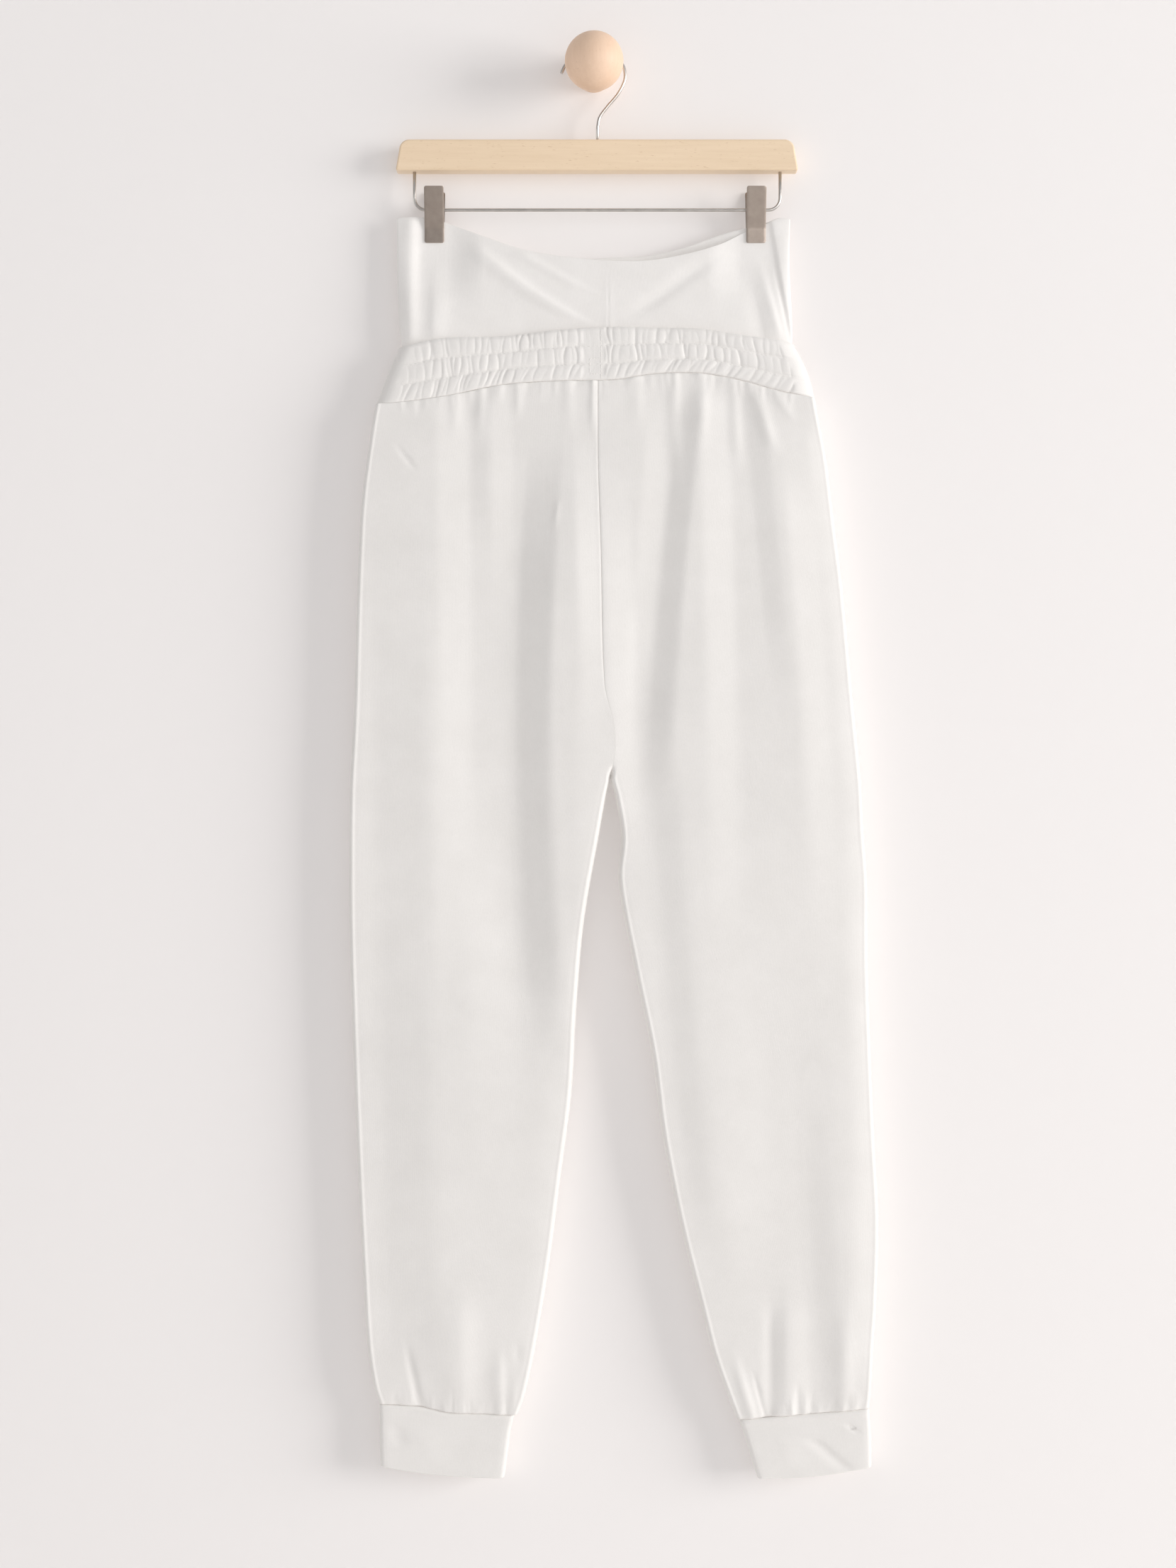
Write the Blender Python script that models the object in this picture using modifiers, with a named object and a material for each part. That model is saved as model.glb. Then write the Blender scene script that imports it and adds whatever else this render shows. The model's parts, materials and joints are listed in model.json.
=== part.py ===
"""Over-the-belly sweatpants, hung flat by two clips on a wooden hanger on a wall knob.

The origin is the middle of the knob's flat back, where it meets the wall (the plane y = 0).
The garment's back faces the viewer, who looks along +Y. Z is up, and lengths are metres.
"Left" and "right" are the viewer's.
"""

import math
from collections import namedtuple

import bmesh
import bpy
from mathutils import Vector

# Cloth walls and the gaps between pieces
SWEAT_WALL = 0.0020
PANEL_WALL = 0.0014
CUFF_WALL = 0.0030
FRONT_BAND_WALL = 0.0035
BAND_WALL = 0.0035
SEAM_GAP = 0.0003
HALF_GAP = SEAM_GAP / 2
FRONT_SEAM_GAP = 0.0006
CROTCH_HALF_GAP = 0.0002

# Planes that the garment hangs in
HANG_Y = -0.014
CROTCH_Z = -0.6587
CROTCH_X = 0.0152
CROTCH_TURN = 0.030
HEM_BEND = 1.6
EDGE_ROUND = 0.026
BAND_ROUND = 0.022

# Counts along and across the cloth
BACK_ACROSS = 9
FRONT_ACROSS = 6
WAVES = 46
POINTS_PER_WAVE = 3
CASINGS = 3
CASING_STEPS = (0.0, 0.3, 0.7)

# Gathers of the elastic waistband
WAVE_HEIGHT = 0.0028
CASING_PUFF = 0.0016
FOOT_SLANT = 0.9
STRIP_LEFT = -0.0090
STRIP_RIGHT = 0.0085
STRIP_SOFT = 0.004
LEFT_CALM = 0.040
RIGHT_CALM = 0.022
CASING_SHIFT = 0.37
UNEVEN_TURNS = 37.0

# Hanger
BAR_LEFT = -0.1840
BAR_RIGHT = 0.1894
BAR_TOP = -0.0659
BAR_BOTTOM = -0.0925
BAR_DEPTH = 0.016
BAR_SHOULDER = 0.0095
BAR_SLANT = 0.0030
BAR_CORNER = 0.0020
BAR_EASE = 0.0030
SOCKET_RADIUS = 0.00185
SOCKET_DEPTH = 0.013
SOCKET_SIDES = 10
DRILL_OVER = 0.002
BEND_STEPS = 5
WIRE_RADIUS = 0.0015
RAIL_Z = -0.1300
RAIL_LEFT = -0.1672
RAIL_RIGHT = 0.1733
RAIL_BEND = 0.011

# Clips
CLIP_X = {"left": -0.1485, "right": 0.1507}
CLIP_WIDTH = 0.0182
CLIP_TOP = -0.1076
CLIP_BOTTOM = -0.1610
CLIP_JAW = 0.013
CLIP_PLATE = 0.0010
CLIP_SPREAD = 0.0105
SPRING_LENGTH = 0.0140
SPRING_BORE = 0.0018

# Wall knob
NECK_RADIUS = 0.0150
NECK_FLARE = 0.0165
BALL_RADIUS = 0.0270
BALL_OUT = 0.0430
BALL_STEPS = 11
FLARE_START = 0.35
KNOB_SEGMENTS = 24
SPRING_SEGMENTS = 14

# Colours, as linear red, green and blue
CREAM = (0.80, 0.79, 0.75)
JERSEY = (0.78, 0.77, 0.73)
BEECH = (0.80, 0.62, 0.43)
KNOB_WOOD = (0.79, 0.58, 0.42)
NICKEL = (0.45, 0.41, 0.37)

# Half of the garment at each height: the x of its side edge and of its inseam edge,
# and how far its back and front lie from the plane between them.
Level = namedtuple("Level", "z side inseam back front")
LEFT_LEVELS = (
    Level(-0.3060, -0.2030, CROTCH_X, 0.0160, 0.0088),
    Level(-0.3310, -0.2072, CROTCH_X, 0.0165, 0.0090),
    Level(-0.3970, -0.2158, CROTCH_X, 0.0160, 0.0090),
    Level(-0.4760, -0.2198, CROTCH_X, 0.0158, 0.0090),
    Level(-0.5950, -0.2231, CROTCH_X, 0.0155, 0.0088),
    Level(CROTCH_Z, -0.2264, CROTCH_X, 0.0150, 0.0085),
    Level(-0.6740, -0.2270, 0.0119, 0.0150, 0.0085),
    Level(-0.7134, -0.2275, 0.0046, 0.0150, 0.0085),
    Level(-0.7926, -0.2273, -0.0092, 0.0148, 0.0085),
    Level(-0.8720, -0.2251, -0.0162, 0.0145, 0.0085),
    Level(-0.9510, -0.2224, -0.0208, 0.0142, 0.0085),
    Level(-1.0302, -0.2191, -0.0310, 0.0140, 0.0085),
    Level(-1.1094, -0.2152, -0.0416, 0.0142, 0.0088),
    Level(-1.1886, -0.2105, -0.0554, 0.0148, 0.0092),
    Level(-1.2260, -0.2050, -0.0640, 0.0140, 0.0090),
    Level(-1.2440, -0.1995, -0.0705, 0.0118, 0.0086),
)
RIGHT_LEVELS = (
    Level(-0.2980, 0.2050, CROTCH_X, 0.0160, 0.0088),
    Level(-0.3108, 0.2072, CROTCH_X, 0.0165, 0.0090),
    Level(-0.3570, 0.2158, CROTCH_X, 0.0163, 0.0090),
    Level(-0.4230, 0.2237, CROTCH_X, 0.0160, 0.0090),
    Level(-0.4760, 0.2303, CROTCH_X, 0.0158, 0.0090),
    Level(-0.5880, 0.2405, CROTCH_X, 0.0155, 0.0088),
    Level(CROTCH_Z, 0.2475, CROTCH_X, 0.0150, 0.0085),
    Level(-0.6740, 0.2485, 0.0191, 0.0150, 0.0085),
    Level(-0.7134, 0.2505, 0.0251, 0.0150, 0.0085),
    Level(-0.7530, 0.2534, 0.0222, 0.0150, 0.0085),
    Level(-0.8322, 0.2541, 0.0365, 0.0148, 0.0085),
    Level(-0.9114, 0.2567, 0.0528, 0.0145, 0.0085),
    Level(-0.9906, 0.2600, 0.0634, 0.0142, 0.0085),
    Level(-1.0698, 0.2640, 0.0792, 0.0142, 0.0086),
    Level(-1.1490, 0.2620, 0.0997, 0.0145, 0.0090),
    Level(-1.1886, 0.2594, 0.1102, 0.0148, 0.0092),
    Level(-1.2282, 0.2574, 0.1245, 0.0140, 0.0090),
    Level(-1.2480, 0.2555, 0.1320, 0.0118, 0.0086),
)

# The seam down the middle of the back; the front's runs the same way.
SeamPoint = namedtuple("SeamPoint", "z x")
CENTRE_SEAM = (
    SeamPoint(-0.2900, 0.0036),
    SeamPoint(-0.3570, 0.0036),
    SeamPoint(-0.4500, 0.0063),
    SeamPoint(-0.5720, 0.0096),
    SeamPoint(-0.6080, 0.0178),
    SeamPoint(-0.6340, 0.0191),
    SeamPoint(CROTCH_Z, CROTCH_X),
)

# Heights of the waist's edges across its width
WaistPoint = namedtuple("WaistPoint", "x band_top band_low front_top front_low")
WAIST = (
    WaistPoint(-0.2045, -0.2615, -0.3125, -0.2640, -0.3125),
    WaistPoint(-0.1790, -0.2595, -0.3110, -0.2700, -0.3150),
    WaistPoint(-0.1390, -0.2515, -0.3056, -0.2800, -0.3230),
    WaistPoint(-0.0850, -0.2500, -0.2950, -0.2900, -0.3340),
    WaistPoint(-0.0337, -0.2442, -0.2915, -0.2950, -0.3390),
    WaistPoint(0.0220, -0.2409, -0.2900, -0.2955, -0.3395),
    WaistPoint(0.0541, -0.2420, -0.2851, -0.2940, -0.3375),
    WaistPoint(0.0983, -0.2429, -0.2844, -0.2880, -0.3310),
    WaistPoint(0.1340, -0.2482, -0.2905, -0.2790, -0.3210),
    WaistPoint(0.1723, -0.2534, -0.3010, -0.2660, -0.3110),
    WaistPoint(0.2045, -0.2600, -0.3065, -0.2610, -0.3065),
)

# The waistband's side edges from its top (0) to its lower seam (1)
BandSide = namedtuple("BandSide", "down left right")
BAND_SIDES = (
    BandSide(0.0, -0.1848, 0.1865),
    BandSide(0.3, -0.1890, 0.1925),
    BandSide(0.6, -0.1950, 0.1985),
    BandSide(1.0, -0.2030, 0.2050),
)
BAND_BACK_TOP = 0.0150
BAND_BACK_LOW = 0.0160
BAND_FRONT_TOP = 0.0082
BAND_FRONT_LOW = 0.0088
BAND_STEP = 0.002
FRONT_BAND_ACROSS = 28
FRONT_BAND_STEPS = (0.0, 0.33, 0.67, 1.0)

# The belly panel's top edge: the near layer's and the far layer's height
TopPoint = namedtuple("TopPoint", "x near far")
BELLY_TOP = (
    TopPoint(-0.1840, -0.1385, -0.1385),
    TopPoint(-0.1600, -0.1379, -0.1382),
    TopPoint(-0.1366, -0.1432, -0.1440),
    TopPoint(-0.1016, -0.1564, -0.1575),
    TopPoint(-0.0614, -0.1696, -0.1700),
    TopPoint(-0.0132, -0.1769, -0.1756),
    TopPoint(0.0185, -0.1789, -0.1738),
    TopPoint(0.0488, -0.1789, -0.1729),
    TopPoint(0.0865, -0.1725, -0.1643),
    TopPoint(0.1168, -0.1635, -0.1538),
    TopPoint(0.1399, -0.1518, -0.1478),
    TopPoint(0.1610, -0.1432, -0.1425),
    TopPoint(0.1723, -0.1386, -0.1390),
    TopPoint(0.1830, -0.1393, -0.1393),
)

# The belly panel from its top to its foot inside the waistband: the side edges,
# and how far its near and far layers stand from the plane between them.
BellyLevel = namedtuple("BellyLevel", "z left right near far")
BELLY_LEVELS = (
    BellyLevel(-0.1380, -0.1836, 0.1826, 0.0040, 0.0036),
    BellyLevel(-0.1800, -0.1834, 0.1786, 0.0075, 0.0050),
    BellyLevel(-0.2150, -0.1826, 0.1792, 0.0082, 0.0052),
    BellyLevel(-0.2450, -0.1808, 0.1816, 0.0080, 0.0052),
    BellyLevel(-0.2620, -0.1782, 0.1800, 0.0085, 0.0048),
    BellyLevel(-0.2850, -0.1815, 0.1835, 0.0118, 0.0048),
)
BELLY_SEAM_X = 0.0132
BELLY_EVEN = 8
BELLY_EDGE = (0.0, 0.0030, 0.0100)
BELLY_STEPS = (0.0, 0.06, 0.16, 0.29, 0.43, 0.58, 0.73, 0.87, 1.0)
BELLY_FOOT_UP = 0.0040
BELLY_ROUND = 0.042
PINCH_MARGIN = 0.0030
PINCH_HALF = 0.034
PINCH_FADE = 0.075

# Folds: each runs from its top to its foot with a sideways bow, and stands out by
# height (toward the viewer when positive); reach is its half width. The fades are
# the lengths over which it rises at its top and dies at its foot.
Fold = namedtuple("Fold", "name z_top x_top z_foot x_foot bow height reach fade_top fade_foot")
BACK_FOLDS = (
    Fold("left hip trough", -0.296, -0.1155, -0.520, -0.1140, -0.003, -0.0030, 0.011, 0.02, 0.12),
    Fold("left hip ridge", -0.296, -0.0940, -0.440, -0.0950, 0.000, 0.0030, 0.012, 0.02, 0.09),
    Fold("left outer ridge", -0.300, -0.1280, -0.400, -0.1330, 0.000, 0.0015, 0.009, 0.02, 0.05),
    Fold("left great trough", -0.300, -0.0554, -1.020, -0.0540, -0.023, -0.0062, 0.021, 0.12, 0.38),
    Fold("left centre ridge", -0.298, -0.0250, -0.640, 0.0030, -0.004, 0.0042, 0.019, 0.05, 0.14),
    Fold("left inner ridge", -0.470, -0.0330, -0.900, -0.0290, 0.000, 0.0030, 0.016, 0.10, 0.20),
    Fold("left thigh ridge", -0.400, -0.1550, -1.225, -0.1250, -0.004, 0.0040, 0.036, 0.15, 0.10),
    Fold("seam hollow", -0.296, 0.0200, -0.500, 0.0230, 0.002, -0.0022, 0.010, 0.02, 0.12),
    Fold("right centre ridge", -0.296, 0.0370, -0.450, 0.0430, 0.003, 0.0032, 0.012, 0.02, 0.10),
    Fold("right great trough", -0.292, 0.0870, -1.000, 0.0740, -0.036, -0.0085, 0.017, 0.10, 0.42),
    Fold("right main ridge", -0.292, 0.1035, -0.950, 0.1070, 0.003, 0.0050, 0.018, 0.06, 0.25),
    Fold("right hip tuck", -0.290, 0.1210, -0.375, 0.1200, 0.000, -0.0030, 0.007, 0.02, 0.05),
    Fold("right side trough", -0.296, 0.1400, -1.130, 0.1900, -0.006, -0.0050, 0.017, 0.05, 0.22),
    Fold("right side ridge", -0.340, 0.1620, -1.235, 0.2320, 0.022, 0.0042, 0.021, 0.10, 0.08),
    Fold("right calf ridge", -0.900, 0.1150, -1.215, 0.1340, 0.006, 0.0042, 0.021, 0.15, 0.05),
    Fold("left hem tuck", -1.160, -0.1670, -1.244, -0.1600, 0.000, -0.0026, 0.008, 0.05, 0.02),
    Fold("left hem ridge", -1.170, -0.1300, -1.244, -0.1200, 0.000, 0.0024, 0.012, 0.05, 0.02),
    Fold("left hem trough", -1.110, -0.0970, -1.244, -0.1010, 0.000, -0.0032, 0.010, 0.06, 0.02),
    Fold("right hem trough", -1.120, 0.1650, -1.246, 0.1640, -0.004, -0.0042, 0.009, 0.05, 0.02),
    Fold("right hem ridge", -1.120, 0.1815, -1.246, 0.1815, 0.000, 0.0026, 0.010, 0.06, 0.02),
    Fold("right hem tuck", -1.100, 0.2020, -1.246, 0.2080, 0.000, -0.0040, 0.010, 0.06, 0.02),
    Fold("right outer hem ridge", -1.150, 0.2370, -1.246, 0.2350, 0.000, 0.0026, 0.010, 0.05, 0.02),
)
FRONT_FOLDS = (
    Fold("left front trough", -0.320, -0.0900, -0.860, -0.0800, -0.012, -0.0034, 0.020, 0.08, 0.25),
    Fold("left front ridge", -0.340, -0.1400, -1.150, -0.1300, -0.006, 0.0016, 0.030, 0.10, 0.20),
    Fold("left front hollow", -0.900, -0.1500, -1.235, -0.1450, 0.004, -0.0024, 0.016, 0.12, 0.04),
    Fold("right front trough", -0.320, 0.0850, -0.900, 0.0950, -0.014, -0.0038, 0.018, 0.08, 0.25),
    Fold("right front ridge", -0.330, 0.1500, -1.100, 0.1850, 0.010, 0.0016, 0.028, 0.10, 0.20),
    Fold("right front hollow", -0.880, 0.2000, -1.235, 0.1900, 0.006, -0.0026, 0.016, 0.12, 0.04),
)
BELLY_FOLDS = (
    Fold("long drag from left clip", -0.158, -0.1100, -0.240, 0.0060, -0.010, 0.0024, 0.014, 0.02, 0.03),
    Fold("short drag from left clip", -0.168, -0.0680, -0.214, 0.0140, -0.004, 0.0018, 0.012, 0.01, 0.02),
    Fold("drag from right clip", -0.168, 0.1160, -0.234, 0.0200, 0.000, 0.0022, 0.014, 0.02, 0.03),
    Fold("left side fold", -0.160, -0.1620, -0.262, -0.1600, -0.004, 0.0018, 0.009, 0.02, 0.02),
    Fold("right side fold", -0.164, 0.1570, -0.262, 0.1700, 0.000, 0.0016, 0.009, 0.02, 0.02),
)

# Cuffs: the corners of each from its seam to its folded foot
CuffLevel = namedtuple("CuffLevel", "down left right z_left z_right")
CUFFS = {
    "left": (
        CuffLevel(0.00, -0.1995, -0.0735, -1.2440, -1.2500),
        CuffLevel(0.25, -0.1993, -0.0770, -1.2560, -1.2640),
        CuffLevel(0.60, -0.1990, -0.0800, -1.2740, -1.2860),
        CuffLevel(1.00, -0.1984, -0.0832, -1.2972, -1.3081),
    ),
    "right": (
        CuffLevel(0.00, 0.1345, 0.2555, -1.2540, -1.2440),
        CuffLevel(0.25, 0.1390, 0.2565, -1.2680, -1.2560),
        CuffLevel(0.60, 0.1450, 0.2575, -1.2880, -1.2740),
        CuffLevel(1.00, 0.1515, 0.2578, -1.3085, -1.2981),
    ),
}
CUFF_BACK = 0.0118
CUFF_FRONT = 0.0086
CUFF_ACROSS = 3
CUFF_STEPS = (0.0, 0.12, 0.4, 0.7, 1.0)
CUFF_SAG = 0.0030

# The rounded edge of a flattened tube: share of its width in, share of its depth out
EdgeStep = namedtuple("EdgeStep", "into out")
EDGE = (
    EdgeStep(0.0, 0.0),
    EdgeStep(0.0, 0.36),
    EdgeStep(0.12, 0.68),
    EdgeStep(0.38, 0.89),
    EdgeStep(0.75, 0.98),
)
FLAT_LIP = 0.05

# Rows of the leg panels: shares of the way from the waist to the crotch, then to the cuff
ABOVE_CROTCH = (0.0, 0.035, 0.08, 0.14, 0.22, 0.31, 0.41, 0.51, 0.61, 0.71, 0.80, 0.88, 0.94, 0.98, 1.0)
BELOW_CROTCH = (0.02, 0.05, 0.10, 0.17, 0.245, 0.32, 0.395, 0.47, 0.545, 0.62, 0.69, 0.76, 0.82,
                0.87, 0.91, 0.945, 0.975, 1.0)
FRONT_ABOVE = (0.0, 0.10, 0.28, 0.50, 0.72, 0.90, 0.97, 1.0)
FRONT_BELOW = (0.04, 0.13, 0.26, 0.40, 0.54, 0.68, 0.81, 0.91, 0.97, 1.0)


# Shared helpers

def lerp(a, b, share):
    return a + (b - a) * share


def ease(share):
    share = min(1.0, max(0.0, share))
    return share * share * (3 - 2 * share)


def read(table, key, column, at):
    """The table's column at one place, along a smooth curve through its rows."""
    rows = sorted(table, key=lambda row: getattr(row, key))
    keys = [getattr(row, key) for row in rows]
    values = [getattr(row, column) for row in rows]
    at = min(max(at, keys[0]), keys[-1])
    i = max(k for k in range(len(keys) - 1) if keys[k] <= at)
    span = keys[i + 1] - keys[i]
    share = (at - keys[i]) / span

    def slope(k):
        if k in (0, len(keys) - 1):
            near = (1, 0) if k == 0 else (k, k - 1)
        else:
            near = (k + 1, k - 1)
        return (values[near[0]] - values[near[1]]) / (keys[near[0]] - keys[near[1]])

    s2, s3 = share * share, share ** 3
    return (
        values[i] * (2 * s3 - 3 * s2 + 1)
        + values[i + 1] * (3 * s2 - 2 * s3)
        + slope(i) * span * (s3 - 2 * s2 + share)
        + slope(i + 1) * span * (s3 - s2)
    )


def fold_relief(folds, x, z):
    """How far the folds lift the cloth at one place."""
    lift = 0.0
    for fold in folds:
        if not fold.z_foot < z < fold.z_top:
            continue
        along = (fold.z_top - z) / (fold.z_top - fold.z_foot)
        middle = lerp(fold.x_top, fold.x_foot, along) + 4 * fold.bow * along * (1 - along)
        rise = ease((fold.z_top - z) / fold.fade_top) * ease((z - fold.z_foot) / fold.fade_foot)
        lift += fold.height * rise * math.exp(-(((x - middle) / fold.reach) ** 2))
    return lift


def material(name, colour, roughness, metallic=0.0):
    made = bpy.data.materials.new(name)
    made.use_nodes = True
    shader = made.node_tree.nodes["Principled BSDF"]
    shader.inputs["Base Color"].default_value = (*colour, 1.0)
    shader.inputs["Roughness"].default_value = roughness
    shader.inputs["Metallic"].default_value = metallic
    made.diffuse_color = (*colour, 1.0)
    return made


def add_object(name, data, finish):
    made = bpy.data.objects.new(name, data)
    made.data.materials.append(finish)
    PARTS.objects.link(made)
    return made


def mesh_from(name, vertices, faces, finish, outward=None):
    """A mesh object; an open surface is turned so that it faces the outward direction."""
    mesh = bpy.data.meshes.new(name)
    mesh.from_pydata([tuple(v) for v in vertices], [], faces)
    work = bmesh.new()
    work.from_mesh(mesh)
    if outward is None:
        bmesh.ops.recalc_face_normals(work, faces=work.faces)
    else:
        total = Vector((0, 0, 0))
        for face in work.faces:
            total += face.normal * face.calc_area()
        if total.dot(Vector(outward)) < 0:
            bmesh.ops.reverse_faces(work, faces=work.faces)
    work.to_mesh(mesh)
    work.free()
    mesh.shade_smooth()
    return add_object(name, mesh, finish)


def grid_faces(rows, columns, closed=False):
    faces = []
    for r in range(rows - 1):
        for c in range(columns if closed else columns - 1):
            after = (c + 1) % columns
            low = (r + 1) * columns
            faces.append((r * columns + c, r * columns + after, low + after, low + c))
    return faces


def thicken(piece, thickness):
    """Gives an open surface its wall, on the side away from where it faces."""
    wall = piece.modifiers.new("Wall", "SOLIDIFY")
    wall.thickness = thickness
    wall.offset = -1.0
    wall.use_even_offset = False
    return piece


# Leg panels

def side_columns(across):
    """The columns from the inseam to the side: two rounded edges with even steps between."""
    columns = [("inner", step) for step in EDGE]
    columns += [("middle", (i + 1) / (across + 1)) for i in range(across)]
    columns += [("outer", step) for step in reversed(EDGE)]
    return columns


def inner_turn(z):
    """How far the centre seam has turned under: 0 on the flat, 1 at the crotch."""
    above = (z - CROTCH_Z) / CROTCH_TURN
    if above >= 1:
        return 0.0
    if above <= 0:
        return 1.0
    return 1 - math.sqrt(1 - (1 - above) ** 2)


def leg_point(levels, side, column, z, layer, seam_height, level_share):
    """One point of a leg panel. The row's height follows the waist seam at the top."""
    kind, place = column
    sign = -1 if side == "left" else 1
    outer_x = read(levels, "z", "side", z)
    turn = inner_turn(z)
    if z > CROTCH_Z:
        seam_z = seam_height(read(CENTRE_SEAM, "z", "x", z), z, level_share)
        inner_x = read(CENTRE_SEAM, "z", "x", seam_z)
    else:
        inner_x = read(levels, "z", "inseam", z)
    inner_x += sign * lerp(HALF_GAP, CROTCH_HALF_GAP, turn)
    out = 1.0
    if kind == "inner":
        into = lerp(FLAT_LIP if place.out else 0.0, 0.0, turn) + place.into
        x = inner_x + sign * into * EDGE_ROUND
        out = lerp(1.0, place.out, turn)
    elif kind == "outer":
        x = outer_x - sign * place.into * EDGE_ROUND
        out = place.out
    else:
        start = inner_x + sign * EDGE_ROUND
        x = lerp(start, outer_x - sign * EDGE_ROUND, place)
    height = seam_height(x, z, level_share)
    if layer == "back":
        depth = read(levels, "z", "back", z)
        lift = fold_relief(BACK_FOLDS, x, height)
        return (x, HANG_Y - HALF_GAP - (depth + lift) * out, height)
    depth = read(levels, "z", "front", z)
    lift = fold_relief(FRONT_FOLDS, x, height)
    return (x, HANG_Y + HALF_GAP + (depth + lift) * out, height)


def leg_panel(name, side, layer, finish):
    levels = LEFT_LEVELS if side == "left" else RIGHT_LEVELS
    edge = "band_low" if layer == "back" else "front_low"
    above = ABOVE_CROTCH if layer == "back" else FRONT_ABOVE
    below = BELOW_CROTCH if layer == "back" else FRONT_BELOW
    columns = side_columns(BACK_ACROSS if layer == "back" else FRONT_ACROSS)
    top, foot = levels[0].z, levels[-1].z
    cuff = CUFFS[side][0]

    def row_height(x, z, share):
        """Rows bend from the waist seam's line to the cuff seam's line."""
        if share <= 1:
            seam = read(WAIST, "x", edge, x) - (SEAM_GAP if layer == "back" else FRONT_SEAM_GAP)
            return z + (seam - top) * (1 - ease(share))
        across = (x - cuff.left) / (cuff.right - cuff.left)
        hem = lerp(cuff.z_left, cuff.z_right, min(1.0, max(0.0, across))) + SEAM_GAP
        return z + (hem - foot) * ease((share - HEM_BEND) / (2 - HEM_BEND))

    rows = [(lerp(top, CROTCH_Z, share), share) for share in above]
    rows += [(lerp(CROTCH_Z, foot, share), 1 + share) for share in below]
    points = []
    for z, share in rows:
        for column in columns:
            points.append(leg_point(levels, side, column, z, layer, row_height, share))
    outward = (0, -1, 0) if layer == "back" else (0, 1, 0)
    panel = mesh_from(name, points, grid_faces(len(rows), len(columns)), finish, outward)
    return thicken(panel, SWEAT_WALL)


# Waistband

def round_off(share, width, radius):
    """How far out a flattened ring stands, at a share of the way across it."""
    inward = min(share, 1 - share) * width
    if inward >= radius:
        return 1.0
    return math.sqrt(max(0.0, 1 - (1 - inward / radius) ** 2))


def band_place(across, down, layer):
    """A point on the band's plain outer face."""
    left = read(BAND_SIDES, "down", "left", down)
    right = read(BAND_SIDES, "down", "right", down)
    x = lerp(left, right, across)
    top = read(WAIST, "x", "band_top" if layer == "back" else "front_top", x)
    low = read(WAIST, "x", "band_low" if layer == "back" else "front_low", x)
    out = round_off(across, right - left, BAND_ROUND)
    if layer == "back":
        depth = lerp(BAND_BACK_TOP, BAND_BACK_LOW, down)
        return Vector((x, HANG_Y - HALF_GAP - depth * out, lerp(top, low, down)))
    depth = lerp(BAND_FRONT_TOP, BAND_FRONT_LOW, down)
    return Vector((x, HANG_Y + HALF_GAP + depth * out, lerp(top, low, down)))


def gather(across, x, down):
    """The height of the gathers: a row of waves on each casing, out of step with the next."""
    casing = min(CASINGS - 1, int(down * CASINGS))
    within = down * CASINGS - casing
    puff = CASING_PUFF * math.sin(math.pi * min(1.0, within)) if within < 1 else 0.0
    uneven = 0.75 + 0.25 * math.sin(UNEVEN_TURNS * across + 2 * casing)
    slant = FOOT_SLANT * (across - 0.5) * within if casing == CASINGS - 1 else 0.0
    phase = across * WAVES + casing * CASING_SHIFT + slant
    wave = WAVE_HEIGHT * (0.5 + 0.5 * math.cos(2 * math.pi * phase)) * uneven
    strip = ease((x - STRIP_LEFT) / STRIP_SOFT + 1) * ease((STRIP_RIGHT - x) / STRIP_SOFT + 1)
    left = read(BAND_SIDES, "down", "left", down)
    right = read(BAND_SIDES, "down", "right", down)
    calm = ease((x - left) / LEFT_CALM) * ease((right - x) / RIGHT_CALM)
    return (wave * (1 - strip) + puff) * calm


def wall_between(outer, inner, step):
    """A closed wall from a fine outer grid and an inner one with a column per step of its own."""
    rows, columns = len(outer), len(outer[0])
    inner_columns = len(inner[0])
    vertices = [p for row in outer for p in row] + [p for row in inner for p in row]
    base = rows * columns
    faces = grid_faces(rows, columns)
    last = len(inner) - 1
    for r in range(last):
        for c in range(inner_columns - 1):
            a = base + r * inner_columns + c
            faces.append((a, a + inner_columns, a + inner_columns + 1, a + 1))
    for c in range(inner_columns - 1):
        for outer_row, inner_row in ((0, 0), (rows - 1, last)):
            rim = [outer_row * columns + k for k in range(c * step, (c + 1) * step + 1)]
            ends = [base + inner_row * inner_columns + c + 1, base + inner_row * inner_columns + c]
            faces.append(tuple(rim + ends))
    for column, inner_column in ((0, 0), (columns - 1, inner_columns - 1)):
        rim = [r * columns + column for r in range(rows)]
        ends = [base + r * inner_columns + inner_column for r in range(last, -1, -1)]
        faces.append(tuple(rim + ends))
    return vertices, faces


def band_inner(across, down, layer, wall):
    """The band's plain inner face, one wall inside the outer one."""
    here = band_place(across, down, layer)
    before = band_place(max(0.0, across - BAND_STEP), down, layer)
    after = band_place(min(1.0, across + BAND_STEP), down, layer)
    along = (after - before).normalized()
    inward = Vector((-along.y, along.x, 0)) if layer == "back" else Vector((along.y, -along.x, 0))
    point = here + inward.normalized() * wall
    if across in (0.0, 1.0):
        point = here + Vector((wall if across == 0.0 else -wall, 0, 0))
    return point


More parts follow.
